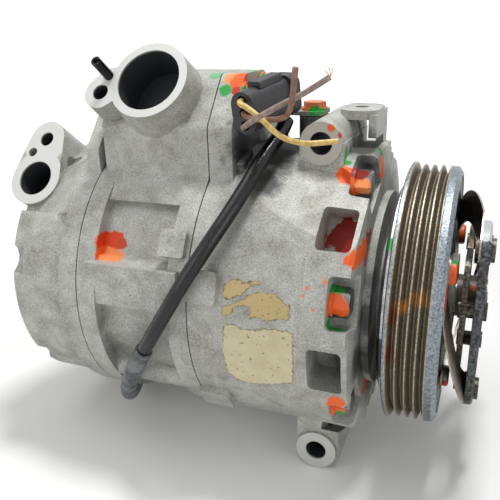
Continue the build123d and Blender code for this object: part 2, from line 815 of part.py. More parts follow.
# ---- pistons and their shoes --------------------------------------------------------------------
piston_r = bore_r - fit_gap
piston_head_x = rear_front_x + piston_top_gap
piston_end_x = -47.6
shoe_faces = (swash_x - swash_t / 2 - fit_gap, swash_x + swash_t / 2 + fit_gap)
slot_x = (swash_x - swash_t / 2 - 1.5, swash_x + swash_t / 2 + 1.5)
shoe_taper = 30
for k, (y, z) in enumerate(bore_points, start=1):
    with BuildPart() as piston:
        with BuildSketch(across(piston_head_x)):
            with Locations((y, z)):
                Circle(piston_r)
        extrude(amount=piston_end_x - piston_head_x)
        # the bridge keeps only the outer side of the skirt beside the swash plate
        with BuildSketch(across(slot_x[0])):
            Circle(swash_r + 0.7)
        extrude(amount=slot_x[1] - slot_x[0], mode=Mode.SUBTRACT)
        with BuildSketch(across(slot_x[0] - 10)):
            Circle(bore_circle_r - shoe_r - 0.8)
        extrude(amount=piston_end_x - slot_x[0] + 10, mode=Mode.SUBTRACT)
        for face_x, way in zip(shoe_faces, (-1, 1)):
            with BuildSketch(Plane(origin=(face_x, y, z), x_dir=(0, 1, 0), z_dir=(way, 0, 0))):
                Circle(shoe_r + fit_gap)
            extrude(amount=shoe_h + fit_gap, taper=shoe_taper, mode=Mode.SUBTRACT)
    save(piston.part, f"piston_{k}")

with BuildPart() as piston_shoes:
    for y, z in bore_points:
        for face_x, way in zip(shoe_faces, (-1, 1)):
            with BuildSketch(Plane(origin=(face_x, y, z), x_dir=(0, 1, 0), z_dir=(way, 0, 0))):
                Circle(shoe_r)
            extrude(amount=shoe_h, taper=shoe_taper)
save(piston_shoes.part, "piston_shoes")

# ---- needle bearings: drawn cups, their needles, and the front thrust bearing -------------------
needle_orbit_r = shaft_r + fit_gap + needle_r
needle_count = 18
rear_needle_x = (-124.0, -112.0)
for end, (x0, x1) in (("front", front_needle_x), ("rear", rear_needle_x)):
    with BuildPart() as cup:
        with BuildSketch(across(x0)):
            Circle(needle_shell_r)
            Circle(needle_orbit_r + needle_r + fit_gap, mode=Mode.SUBTRACT)
        extrude(amount=x1 - x0)
    save(cup.part, f"{end}_needle_cup")
    with BuildPart() as needles:
        with BuildSketch(across(x0 + 0.6)):
            with PolarLocations(needle_orbit_r, needle_count):
                Circle(needle_r)
        extrude(amount=x1 - x0 - 1.2)
    save(needles.part, f"{end}_needles")

thrust_x = (lug_x + lug_t / 2, wall_x)
thrust_roller_r = (thrust_x[1] - thrust_x[0]) / 2 - fit_gap
with BuildPart() as thrust_bearing:
    with BuildSketch(across(sum(thrust_x) / 2 - 0.6)):
        Circle(24.5)
        Circle(shaft_r + 1.5, mode=Mode.SUBTRACT)
        with PolarLocations(18.5, 20):
            Rectangle(8.4, 2 * thrust_roller_r + 0.2, mode=Mode.SUBTRACT)
    extrude(amount=1.2)
    with Locations(Plane.YZ.offset(sum(thrust_x) / 2)):
        with PolarLocations(18.5, 20):
            Cylinder(thrust_roller_r, 8, rotation=(0, 90, 0))
save(thrust_bearing.part, "front_thrust_bearing")

with BuildPart() as shaft_seal:
    with BuildSketch(across(seal_x[0])):
        Circle(nose_bore_r - fit_gap)
        Circle(shaft_nose_r + fit_gap, mode=Mode.SUBTRACT)
    extrude(amount=seal_x[1] - seal_x[0])
save(shaft_seal.part, "shaft_seal")

with BuildPart() as seal_ring:
    with BuildSketch(across(seal_x[1] + 0.1)):
        Circle(nose_bore_r - fit_gap)
        Circle(nose_bore_r - 2.4, mode=Mode.SUBTRACT)
        with Locations((0, nose_bore_r)):
            Rectangle(5, 8, mode=Mode.SUBTRACT)
    extrude(amount=1.2)
save(seal_ring.part, "seal_snap_ring")

# ---- field coil ---------------------------------------------------------------------------------
with BuildPart() as field_coil:
    with BuildSketch(Plane.XZ):
        with BuildLine():
            Polyline(
                (coil_rear_x - 1.6, coil_seat_r + fit_gap),
                (coil_rear_x - 1.6, coil_outer_r - 3.5),
                (coil_rear_x, coil_outer_r),
                (coil_front_x, coil_outer_r),
                (coil_front_x, coil_outer_r - coil_shell_t),
                (coil_rear_x + 2.6, coil_outer_r - coil_shell_t),
                (coil_rear_x + 2.6, coil_inner_r + coil_shell_t),
                (coil_front_x, coil_inner_r + coil_shell_t),
                (coil_front_x, coil_inner_r),
                (coil_rear_x, coil_inner_r),
                (coil_rear_x, coil_seat_r + fit_gap),
                close=True,
            )
        make_face()
    revolve(axis=Axis.X)
save(field_coil.part, "field_coil_shell")

with BuildPart() as winding:
    with BuildSketch(across(coil_rear_x + 2.6 + fit_gap)):
        Circle(coil_outer_r - coil_shell_t - fit_gap)
        Circle(coil_inner_r + coil_shell_t + fit_gap, mode=Mode.SUBTRACT)
    extrude(amount=coil_front_x - coil_rear_x - 3.2)
save(winding.part, "coil_winding")

with BuildPart() as coil_ring:
    with BuildSketch(across(coil_rear_x + 0.05)):
        Circle(coil_seat_r + 3)
        Circle(coil_seat_r + fit_gap, mode=Mode.SUBTRACT)
        with Locations((0, -coil_seat_r)):
            Rectangle(6, 12, mode=Mode.SUBTRACT)
    extrude(amount=1.2)
save(coil_ring.part, "coil_snap_ring")

# ---- pulley and its bearing ---------------------------------------------------------------------
groove_half_w = belt_pitch / 2 - 0.25
groove_floor_w = groove_half_w - groove_depth * tan(radians(20))
rib_tip_r = pulley_r - 0.8
with BuildPart() as pulley:
    with BuildSketch(Plane.XZ):
        with BuildLine():
            Polyline(
                (pulley_rear_x, pulley_rim_inner_r),
                (pulley_rear_x, pulley_r - 1),
                (pulley_rear_x + 0.5, pulley_r),
                (-belt_pitch * belt_grooves / 2, pulley_r),
                (-belt_pitch * belt_grooves / 2, rib_tip_r),
                (belt_pitch * belt_grooves / 2, rib_tip_r),
                (belt_pitch * belt_grooves / 2 + 0.4, pulley_front_r),
                (pulley_front_x - 1.6, pulley_front_r),
                (pulley_front_x, pulley_front_r - 2.2),
                (pulley_front_x, rim_lip_r),
                (friction_x, rim_lip_r),
                (friction_x, bearing_outer_r + fit_gap),
                (pulley_rear_x, bearing_outer_r + fit_gap),
                (pulley_rear_x, pulley_hub_r),
                (friction_x - pulley_web_t, pulley_hub_r),
                (friction_x - pulley_web_t, pulley_rim_inner_r),
                close=True,
            )
        make_face()
        for k in range(belt_grooves):
            center = (k - (belt_grooves - 1) / 2) * belt_pitch
            with BuildLine():
                Polyline(
                    (center - groove_half_w, rib_tip_r),
                    (center - groove_floor_w, rib_tip_r - groove_depth),
                    (center + groove_floor_w, rib_tip_r - groove_depth),
                    (center + groove_half_w, rib_tip_r),
                    (center + groove_half_w, rib_tip_r + 1),
                    (center - groove_half_w, rib_tip_r + 1),
                    close=True,
                )
            make_face(mode=Mode.SUBTRACT)
    revolve(axis=Axis.X)
    # banana slots that turn the magnetic flux through the armature
    with BuildSketch(across(friction_x - pulley_web_t)):
        for radius in (36.5, 43.5):
            for k in range(6):
                with Locations((0, 0)):
                    SlotArc(
                        CenterArc((0, 0), radius, 60 * k + (0 if radius < 40 else 30), 44), 2.2
                    )
    extrude(amount=pulley_web_t, mode=Mode.SUBTRACT)
save(pulley.part, "pulley")

bearing_x = pulley_rear_x
ball_orbit_r = (bearing_outer_r + nose_r) / 2
race_t = ball_orbit_r - ball_r - nose_r - 2 * fit_gap
ball_rows = (bearing_x + bearing_w / 4 + 0.4, bearing_x + bearing_w * 3 / 4 - 0.4)
for name, r_out, r_in in (
    ("bearing_inner_ring", nose_r + fit_gap + race_t, nose_r + fit_gap),
    ("bearing_outer_ring", bearing_outer_r, bearing_outer_r - race_t),
):
    save(tube(bearing_x, bearing_x + bearing_w, r_out, r_in), name)
with BuildPart() as balls:
    for row_x in ball_rows:
        with Locations(across(row_x)):
            with PolarLocations(ball_orbit_r, 14):
                Sphere(ball_r - fit_gap)
save(balls.part, "bearing_balls")
with BuildPart() as bearing_seals:
    for x in (bearing_x + 0.4, bearing_x + bearing_w - 1.0):
        with BuildSketch(across(x)):
            Circle(bearing_outer_r - race_t - fit_gap)
            Circle(nose_r + race_t + 3 * fit_gap, mode=Mode.SUBTRACT)
        extrude(amount=0.6)
save(bearing_seals.part, "bearing_seals")
with BuildPart() as nose_ring:
    with BuildSketch(across(bearing_x + bearing_w + 0.05)):
        Circle(nose_r + 2.2)
        Circle(nose_r + fit_gap, mode=Mode.SUBTRACT)
        with Locations((nose_r, 0)):
            Rectangle(8, 5, mode=Mode.SUBTRACT)
    extrude(amount=1.5)
save(nose_ring.part, "bearing_snap_ring")

# ---- armature, leaf springs, hub ----------------------------------------------------------------
armature_x = friction_x + air_gap
hub_angles = [hub_arm_turn + 120 * k for k in range(3)]
armature_rivet_angles = [a + spring_sweep for a in hub_angles]
armature_rivet_points = [polar(rivet_circle_r, a) for a in armature_rivet_angles]
hub_rivet_points = [polar(rivet_circle_r, a) for a in hub_angles]
spring_low_x = armature_x + armature_t + fit_gap
spring_high_x = hub_plate_x - spring_t - fit_gap
with BuildPart() as armature:
    with BuildSketch(across(armature_x)):
        Circle(armature_r)
        Circle(armature_inner_r, mode=Mode.SUBTRACT)
        for k in range(6):
            SlotArc(CenterArc((0, 0), 34.5, 60 * k + 12, 40), 2.2, mode=Mode.SUBTRACT)
        with Locations(*armature_rivet_points):
            Circle(rivet_r + fit_gap, mode=Mode.SUBTRACT)
    extrude(amount=armature_t)
    chamfer(edges().group_by(Axis.X)[-1].sort_by(SortBy.LENGTH)[-1], length=0.6)
save(armature.part, "armature_plate")

with BuildPart() as armature_rivets:
    with BuildSketch(across(armature_x + 0.5)):
        with Locations(*armature_rivet_points):
            Circle(rivet_r)
    extrude(amount=armature_t + spring_t - 0.3)
    with BuildSketch(across(spring_low_x + spring_t + fit_gap)):
        with Locations(*armature_rivet_points):
            Circle(rivet_head_r)
    extrude(amount=2.6)
    fillet(edges().group_by(Axis.X)[-1], radius=1.1)
save(armature_rivets.part, "armature_rivets")

spring_cap_angle = degrees(spring_w / 2 / rivet_circle_r)
springs = []
for low_end, high_end, angle in zip(armature_rivet_points, hub_rivet_points, hub_angles):
    chord = Vector(0, high_end[0] - low_end[0], high_end[1] - low_end[1])
    heading = chord.normalized()
    slope_run = (spring_flat[0], chord.length - spring_flat[1])
    with BuildPart() as spring:
        # the bend seen from the side, then cut to the arc between the two rivets
        side = Plane(origin=(0, *low_end), x_dir=heading, z_dir=(0, heading.Z, -heading.Y))
        with BuildSketch(side):
            with BuildLine():
                Polyline(
                    (-spring_w, spring_low_x),
                    (slope_run[0], spring_low_x),
                    (slope_run[1], spring_high_x),
                    (chord.length + spring_w, spring_high_x),
                    (chord.length + spring_w, spring_high_x + spring_t),
                    (slope_run[1], spring_high_x + spring_t),
                    (slope_run[0], spring_low_x + spring_t),
                    (-spring_w, spring_low_x + spring_t),
                    close=True,
                )
            make_face()
        extrude(amount=rivet_circle_r, both=True)
        inner_r, outer_r = rivet_circle_r - spring_w / 2, rivet_circle_r + spring_w / 2
        last_angle = angle + spring_sweep
        mid_angle = angle + spring_sweep / 2
        with BuildSketch(across(armature_x)):
            with BuildLine():
                ThreePointArc(
                    polar(outer_r, angle), polar(outer_r, mid_angle), polar(outer_r, last_angle)
                )
                ThreePointArc(
                    polar(outer_r, last_angle),
                    polar(rivet_circle_r, last_angle + spring_cap_angle),
                    polar(inner_r, last_angle),
                )
                ThreePointArc(
                    polar(inner_r, last_angle), polar(inner_r, mid_angle), polar(inner_r, angle)
                )
                ThreePointArc(
                    polar(inner_r, angle),
                    polar(rivet_circle_r, angle - spring_cap_angle),
                    polar(outer_r, angle),
                )
            make_face()
            with Locations(low_end, high_end):
                Circle(rivet_r + fit_gap, mode=Mode.SUBTRACT)
        extrude(amount=hub_plate_x - armature_x, mode=Mode.INTERSECT)
    springs.append(spring.part)
with BuildPart() as leaf_springs:
    add(springs)
save(leaf_springs.part, "leaf_springs")

limiter_rivet_points = [
    polar(limiter_rivet_place[0], a + limiter_rivet_place[1]) for a in hub_angles
]
limiter_rivet_r = 1.8
limiter_head_r = 3.6
sleeve_r = 3.2
hub_rear_x = shaft_shoulder_x
with BuildPart() as hub:
    with BuildSketch(across(hub_rear_x)):
        Circle(hub_boss_r)
    extrude(amount=hub_plate_x - hub_rear_x)
    with BuildSketch(across(hub_plate_x)):
        with BuildSketch(mode=Mode.PRIVATE) as arms:
            with Locations(*[polar(hub_arm_r - hub_arm_w / 2, a) for a in hub_angles]):
                Circle(hub_arm_w / 2)
        make_hull(arms.sketch.edges())
    extrude(amount=hub_plate_t)
    chamfer(edges().group_by(Axis.X)[-1], length=0.8)
    with BuildSketch(across(hub_rear_x)):
        Circle(shaft_tip_r)
        with Locations(*hub_rivet_points):
            Circle(rivet_r + fit_gap)
        with Locations(*limiter_rivet_points):
            Circle(limiter_rivet_r + fit_gap)
    extrude(amount=hub_plate_x + hub_plate_t - hub_rear_x, mode=Mode.SUBTRACT)
save(hub.part, "hub")

with BuildPart() as limiter:
    with BuildSketch(across(limiter_x)):
        with BuildSketch(mode=Mode.PRIVATE) as limiter_arms:
            with Locations(
                *[polar(limiter_arm_r - limiter_arm_w / 2, a) for a in armature_rivet_angles]
            ):
                Circle(limiter_arm_w / 2)
        make_hull(limiter_arms.sketch.edges())
        Circle(limiter_disc_r)
        Circle(hub_boss_r + fit_gap, mode=Mode.SUBTRACT)
        with Locations(*limiter_rivet_points):
            Circle(limiter_rivet_r + fit_gap, mode=Mode.SUBTRACT)
    extrude(amount=limiter_t)
save(limiter.part, "limiter_plate")

with BuildPart() as hub_rivets:
    hub_front_x = hub_plate_x + hub_plate_t
    rows = (
        # points, then the steps of the rivet: start, length, radius
        (hub_rivet_points, (spring_high_x - fit_gap - 1.4, 1.4, rivet_head_r)),
        (hub_rivet_points, (spring_high_x - fit_gap, hub_front_x - spring_high_x + fit_gap, rivet_r)),
        (hub_rivet_points, (hub_front_x, 1.8, rivet_head_r)),
        (limiter_rivet_points, (limiter_x - 1.0, 1.0, limiter_head_r)),
        (limiter_rivet_points, (limiter_x, hub_front_x - limiter_x, limiter_rivet_r)),
        (
            limiter_rivet_points,
            (limiter_x + limiter_t, hub_plate_x - limiter_x - limiter_t, sleeve_r),
        ),
        (limiter_rivet_points, (hub_front_x, 1.4, limiter_head_r)),
    )
    for points, (x, length, radius) in rows:
        with BuildSketch(across(x)):
            with Locations(*points):
                Circle(radius)
        extrude(amount=length)
save(hub_rivets.part, "hub_rivets")

with BuildPart() as hub_screw:
    with BuildSketch(across(shaft_tip_x - 11)):
        Circle(2.6 - fit_gap)
    extrude(amount=13)
    with BuildSketch(across(hub_plate_x + hub_plate_t)):
        Circle(8.0)
    extrude(amount=1.0)
    with BuildSketch(across(hub_plate_x + hub_plate_t + 1.0)):
        RegularPolygon(1.9, 6, major_radius=False)
    extrude(amount=-2.6, mode=Mode.SUBTRACT)
save(hub_screw.part, "hub_screw")

# ---- control valve and relief valve in the rear housing -----------------------------------------
valve_stem_r = 3.0
plug_r = 8.0
with BuildPart() as valve_body:
    with BuildSketch(Plane.XY.offset(valve_seat_z)):
        with Locations((valve_x, valve_y)):
            Circle(valve_bore_r - fit_gap)
    extrude(amount=valve_top_z - valve_seat_z - 0.5)
    with BuildSketch(Plane.XY.offset(valve_seat_z - seat_gap)):
        with Locations((valve_x, valve_y)):
            Circle(plug_r)
    extrude(amount=-6)
    with BuildSketch(Plane.XY.offset(valve_seat_z)):
        with Locations((valve_x, valve_y)):
            Circle(plug_r)
    extrude(amount=-seat_gap)
    with BuildSketch(Plane.XY.offset(valve_top_z - 16)):
        with Locations((valve_x, valve_y)):
            Circle(valve_stem_r + fit_gap)
    extrude(amount=16, mode=Mode.SUBTRACT)
save(valve_body.part, "control_valve_body")
with BuildPart() as plunger:
    with BuildSketch(Plane.XY.offset(valve_top_z - 14)):
        with Locations((valve_x, valve_y)):
            Circle(valve_stem_r)
    extrude(amount=12)
save(plunger.part, "control_valve_plunger")
with BuildPart() as relief_valve:
    with BuildSketch(on_barrel(relief_x, body_r - 11, relief_angle)):
        Circle(5 - fit_gap)
    extrude(amount=11)
    with BuildSketch(on_barrel(relief_x, body_r, relief_angle)):
        RegularPolygon(6.5, 6, major_radius=False)
    extrude(amount=6)
save(relief_valve.part, "relief_valve")

# ---- connector, its bracket and screw -----------------------------------------------------------
connector_l = 29.0
connector_face = Vector(-65.7, -39.0, 79.5)
connector_heading = Vector(0.294, 0.941, 0.165)
cavity_pitch = 4.8
collar_l = 7.0


def connector_plane(depth):
    """A section of the connector at a depth behind its wire face: local Y runs up."""
    return Plane(
        origin=connector_face + connector_heading * depth,
        x_dir=(-0.954, 0.298, 0),
        z_dir=connector_heading,
    )


with BuildPart() as connector:
    with BuildSketch(connector_plane(0)):
        SlotOverall(connector_h, connector_w, rotation=90)
    extrude(amount=collar_l)
    with BuildSketch(connector_plane(collar_l)):
        RectangleRounded(connector_w - 1, connector_h - 1.6, 3.5)
    extrude(amount=connector_l - collar_l - 5)
    with BuildSketch(connector_plane(connector_l - 5)):
        RectangleRounded(connector_w + 1.4, connector_h, 4)
    extrude(amount=5)
    # latch on top
    with BuildSketch(connector_plane(collar_l + 1)):
        with Locations((0, connector_h / 2)):
            RectangleRounded(6, 3.4, 1)
    extrude(amount=14)
    with BuildSketch(connector_plane(0)):
        with Locations(*[(0, k * cavity_pitch) for k in (-1, 0, 1)]):
            Circle(1.9)
    extrude(amount=6, mode=Mode.SUBTRACT)
save(connector.part, "connector_body")

bracket_z = bracket_seat_z + 2 * seat_gap
bracket_t = 1.6
with BuildPart() as bracket:
    with BuildSketch(Plane.XY.offset(bracket_z)):
        with Locations((-57.8, 5.5)):
            RectangleRounded(25, 17, 4)
        with Locations(screw_place):
            Circle(3.3, mode=Mode.SUBTRACT)
    extrude(amount=bracket_t)
save(bracket.part, "connector_bracket")
with BuildPart() as bracket_screw:
    with BuildSketch(Plane.XY.offset(bracket_z + bracket_t)):
        with Locations(screw_place):
            Circle(5.6)
    extrude(amount=0.9)
    with BuildSketch(Plane.XY.offset(bracket_z + bracket_t + 0.9)):
        with Locations(screw_place):
            RegularPolygon(4.3, 6, major_radius=False)
    extrude(amount=2.4)
    with BuildSketch(Plane.XY.offset(bracket_z + bracket_t)):
        with Locations(screw_place):
            Circle(3)
    extrude(amount=-bracket_t - seat_gap)
save(bracket_screw.part, "bracket_screw")

# ---- wires and the sleeved lead -----------------------------------------------------------------
cavity_step = Vector(-0.0492, -0.1574, 0.985) * cavity_pitch


def bend_radii(points, name):
    """The largest arc that each corner of a route leaves room for."""
    route = [Vector(*p) for p in points]
    radii = []
    for before, corner, after in zip(route, route[1:], route[2:]):
        run_in, run_out = corner - before, after - corner
        half_turn = radians(run_in.get_angle(run_out) / 2)
        radii.append(0.45 * min(run_in.length, run_out.length) / tan(half_turn))
    print(name, "length", round(sum((b - a).length for a, b in zip(route, route[1:])), 1),
          "radii", [round(r, 1) for r in radii])
    return radii


def cord(points, radius, name):
    with BuildPart() as piece:
        with BuildLine() as route:
            FilletPolyline(*points, radius=bend_radii(points, name))
        with BuildSketch(route.line ^ 0):
            Circle(radius)
        sweep()
    save(piece.part, name)
    print(name, "volume against section times length",
          round(piece.part.volume / (3.14159265 * radius**2 * sum(e.length for e in route.line.edges())), 4))


face = tuple(connector_face)
yellow_route = [
    tuple(connector_face + cavity_step), (-66.6, -42.4, 83.9), (-61.4, -46.0, 82.8),
    (-55.5, -47.0, 78.9), (-49.2, -46.0, 72.6), (-41.6, -43.0, 70.1), (-35.4, -40.0, 70.2),
    (-30.1, -38.0, 70.7),
]
brown_route = [
    face, (-64.6, -41.5, 79.0), (-60.0, -42.6, 78.0), (-53.2, -43.0, 78.2), (-47.0, -46.5, 79.6),
    (-43.6, -50.5, 83.5), (-42.1, -53.0, 89.5), (-40.8, -54.5, 97.2),
]
violet_route = [
    tuple(connector_face - cavity_step), (-65.2, -42.0, 74.6), (-61.5, -47.5, 76.6),
    (-56.0, -50.5, 80.0), (-48.0, -48.5, 84.3), (-39.5, -46.5, 88.3), (-31.5, -46.0, 93.5),
]
lead_route = [
    (-57.1, -14.0, 73.6), (-57.5, -18.0, 70.2), (-58.6, -24.5, 66.2), (-61.2, -34.2, 60.5),
    (-65.5, -48.6, 48.3), (-72.6, -60.4, 34.9), (-81.0, -67.2, 20.6), (-89.2, -69.0, 6.6),
    (-98.6, -67.4, -8.0), (-107.0, -63.4, -20.5), (-119.5, -53.4, -40.0), (-129.5, -39.0, -56.0),
    (-138.0, -22.0, -65.2), (-145.0, -7.5, -68.0), (-150.3, valve_y - plug_r - 1.2, -66.0),
]
cord(yellow_route, wire_r, "yellow_wire")
cord(brown_route, wire_r, "brown_wire")
cord(violet_route, wire_r, "violet_wire")
cord(lead_route, lead_r, "valve_lead")
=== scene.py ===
"""A used automotive AC compressor: the finishes, label and wires over its CAD frame."""
import math

import bmesh
import bpy
from mathutils import Matrix, Vector, noise


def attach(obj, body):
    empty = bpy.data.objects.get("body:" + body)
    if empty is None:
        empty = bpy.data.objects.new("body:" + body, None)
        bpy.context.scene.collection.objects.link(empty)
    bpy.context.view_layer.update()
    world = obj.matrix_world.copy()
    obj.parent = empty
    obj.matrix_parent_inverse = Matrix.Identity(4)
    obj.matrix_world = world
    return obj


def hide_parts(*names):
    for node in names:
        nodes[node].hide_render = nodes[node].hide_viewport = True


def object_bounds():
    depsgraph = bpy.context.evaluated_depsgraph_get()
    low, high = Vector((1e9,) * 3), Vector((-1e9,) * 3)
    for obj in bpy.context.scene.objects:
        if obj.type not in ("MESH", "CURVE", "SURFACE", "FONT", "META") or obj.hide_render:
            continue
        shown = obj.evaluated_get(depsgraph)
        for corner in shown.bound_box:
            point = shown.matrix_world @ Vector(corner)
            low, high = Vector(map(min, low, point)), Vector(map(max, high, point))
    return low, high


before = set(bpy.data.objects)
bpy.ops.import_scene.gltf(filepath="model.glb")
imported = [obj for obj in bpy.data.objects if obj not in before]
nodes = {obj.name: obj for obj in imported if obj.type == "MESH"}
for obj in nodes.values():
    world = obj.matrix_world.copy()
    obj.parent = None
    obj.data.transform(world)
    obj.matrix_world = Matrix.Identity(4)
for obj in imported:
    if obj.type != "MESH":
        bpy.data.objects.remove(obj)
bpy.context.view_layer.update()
MM = 0.001

# ---- castings -----------------------------------------------------------------------------------
# Two housings and a cylinder block, die-cast in aluminium and bead-blasted, with machined port
# and ear faces. The surface is a pale dull grey with a fine grain and oily stains, painted darker
# as shade in its pockets and bores, and an inspector has daubed it with orange and green
# marking paint.
PALE_ALUMINIUM = "#D2D3CD"
GREY_ALUMINIUM = "#9C9D96"
MILLED_ALUMINIUM = "#D0D1CD"
WORN_ALUMINIUM = "#86847B"
STAINED_ALUMINIUM = "#7B7970"
OILY_DIRT = "#5A5448"
PIT_DARK = "#45423C"
# inside the bores: painted shade
BORE_SHADE = "#35373A"
SHADE_AND_SOOT = "#131314"
MARK_ORANGE = "#EE6526"
MARK_PALE_ORANGE = "#FB9A5C"
MARK_GREEN = "#1E9C3B"
MARK_RED = "#C2290F"
MARK_DARK_RED = "#8E1509"
GRAIN_MM = 0.5
BLOTCH_MM = 14.0
MILLED_SKIN_MM = 0.12
BORE_MARGIN_MM = 0.15
BORE_LIP_MM = 0.9


def linear(hex_colour):
    """An sRGB hex colour as linear red, green, blue and full alpha."""
    channels = [int(hex_colour[i : i + 2], 16) / 255 for i in (1, 3, 5)]
    return (*[c / 12.92 if c <= 0.04045 else ((c + 0.055) / 1.055) ** 2.4 for c in channels], 1.0)


def add_node(tree, kind, inputs=(), **settings):
    """Adds a node, sets its properties, and gives its inputs values or links."""
    made = tree.nodes.new(kind)
    for key, value in settings.items():
        setattr(made, key, value)
    for key, value in dict(inputs).items():
        if isinstance(value, bpy.types.NodeSocket):
            tree.links.new(value, made.inputs[key])
        else:
            made.inputs[key].default_value = value
    return made


def start_material(name, metallic, roughness, **sockets):
    """An empty material with its shader and its Object coordinates."""
    material = bpy.data.materials.new(name)
    material.use_nodes = True
    tree = material.node_tree
    shader = tree.nodes["Principled BSDF"]
    shader.inputs["Metallic"].default_value = metallic
    shader.inputs["Roughness"].default_value = roughness
    for key, value in sockets.items():
        shader.inputs[key.replace("_", " ")].default_value = value
    place = add_node(tree, "ShaderNodeTexCoord").outputs["Object"]
    return material, tree, shader, place


def speckle(tree, place, size_mm, detail=3.0, low=0.4, high=0.6):
    """A noise of grains of a real size, stretched between two levels, as a 0 to 1 mask."""
    grains = add_node(
        tree, "ShaderNodeTexNoise", {"Vector": place, "Scale": 1 / (size_mm * MM), "Detail": detail}
    )
    return add_node(
        tree,
        "ShaderNodeMapRange",
        {"Value": grains.outputs["Fac"], "From Min": low, "From Max": high},
    ).outputs["Result"]


def blend_colours(tree, mask, under, over):
    """The over colour where the mask is 1, the under colour elsewhere."""
    colours = [linear(c) if isinstance(c, str) else c for c in (under, over)]
    mixed = add_node(
        tree, "ShaderNodeMix", {0: mask, 6: colours[0], 7: colours[1]}, data_type="RGBA"
    )
    return mixed.outputs[2]


def combine(tree, operation, first, second=0.5):
    return add_node(tree, "ShaderNodeMath", {0: first, 1: second}, operation=operation).outputs[0]


def bump(tree, shader, height, depth_mm):
    """Relief of a real depth under the shader."""
    relief = add_node(
        tree, "ShaderNodeBump", {"Height": height, "Distance": depth_mm * MM, "Strength": 1.0}
    )
    tree.links.new(relief.outputs["Normal"], shader.inputs["Normal"])


def daub(tree, place, middle_mm, radius_mm, edge_mm=0.4):
    """A mask for one brush mark, stain or patch of painted shade: a ball round a point with a
    ragged edge.
    """
    away = add_node(
        tree,
        "ShaderNodeVectorMath",
        {0: place, 1: [v * MM for v in middle_mm]},
        operation="DISTANCE",
    ).outputs["Value"]
    ragged = add_node(
        tree, "ShaderNodeTexNoise", {"Vector": place, "Scale": 1 / (4 * MM), "Detail": 4.0}
    ).outputs["Fac"]
    # half the noise is kept out of the radius, so that the mark keeps its mean size
    reach = add_node(
        tree,
        "ShaderNodeMath",
        {0: ragged, 1: radius_mm * MM * 1.1, 2: away},
        operation="MULTIPLY_ADD",
    ).outputs[0]
    spread = combine(tree, "SUBTRACT", reach, radius_mm * MM * 1.55)
    return add_node(
        tree,
        "ShaderNodeMapRange",
        {"Value": spread, "From Min": edge_mm * MM, "From Max": -edge_mm * MM},
    ).outputs["Result"]


def painted(tree, shader, place, colour, marks):
    """Lays marks over a colour, not metallic, and links the shader."""
    covered = None
    for middle_mm, radius_mm, paint in marks:
        mask = daub(tree, place, middle_mm, radius_mm)
        colour = blend_colours(tree, mask, colour, paint)
        covered = mask if covered is None else combine(tree, "MAXIMUM", covered, mask)
    tree.links.new(colour, shader.inputs["Base Color"])
    if covered is not None:
        bare = shader.inputs["Metallic"].default_value
        metal = combine(tree, "MULTIPLY", combine(tree, "SUBTRACT", 1.0, covered), bare)
        tree.links.new(metal, shader.inputs["Metallic"])


def in_bore(tree, place, mouth_mm, axis, radius_mm, depth_mm):
    """A mask for the wall and floor of a bore, from its mouth inward to a depth."""
    mouth = [v * MM for v in mouth_mm]
    inward = add_node(
        tree, "ShaderNodeVectorMath", {0: place, 1: mouth}, operation="SUBTRACT"
    ).outputs[0]
    along = add_node(tree, "ShaderNodeVectorMath", {0: inward, 1: axis}, operation="PROJECT")
    off_axis = add_node(
        tree, "ShaderNodeVectorMath", {0: inward, 1: along.outputs[0]}, operation="DISTANCE"
    ).outputs["Value"]
    depth = add_node(
        tree, "ShaderNodeVectorMath", {0: inward, 1: axis}, operation="DOT_PRODUCT"
    ).outputs["Value"]
    within = combine(tree, "LESS_THAN", off_axis, (radius_mm + BORE_MARGIN_MM) * MM)
    within = combine(tree, "MULTIPLY", within, combine(tree, "LESS_THAN", depth, -BORE_LIP_MM * MM))
    return combine(
        tree, "MULTIPLY", within, combine(tree, "GREATER_THAN", depth, -depth_mm * MM)
    )


def on_face(tree, place, normal, middle_mm, radius_mm):
    """A mask for a milled face: the part within a radius of the plane through its middle."""
    middle = Vector(middle_mm) * MM
    height = add_node(
        tree, "ShaderNodeVectorMath", {0: place, 1: normal}, operation="DOT_PRODUCT"
    ).outputs["Value"]
    level = add_node(
        tree,
        "ShaderNodeMath",
        {0: height, 1: middle.dot(Vector(normal)), 2: MILLED_SKIN_MM * MM},
        operation="COMPARE",
    ).outputs[0]
    away = add_node(
        tree, "ShaderNodeVectorMath", {0: place, 1: middle}, operation="DISTANCE"
    ).outputs["Value"]
    return combine(tree, "MULTIPLY", level, combine(tree, "LESS_THAN", away, radius_mm * MM))


def dress(names, material):
    """Puts one material on CAD nodes."""
    for name in names:
        nodes[name].data.materials.clear()
        nodes[name].data.materials.append(material)


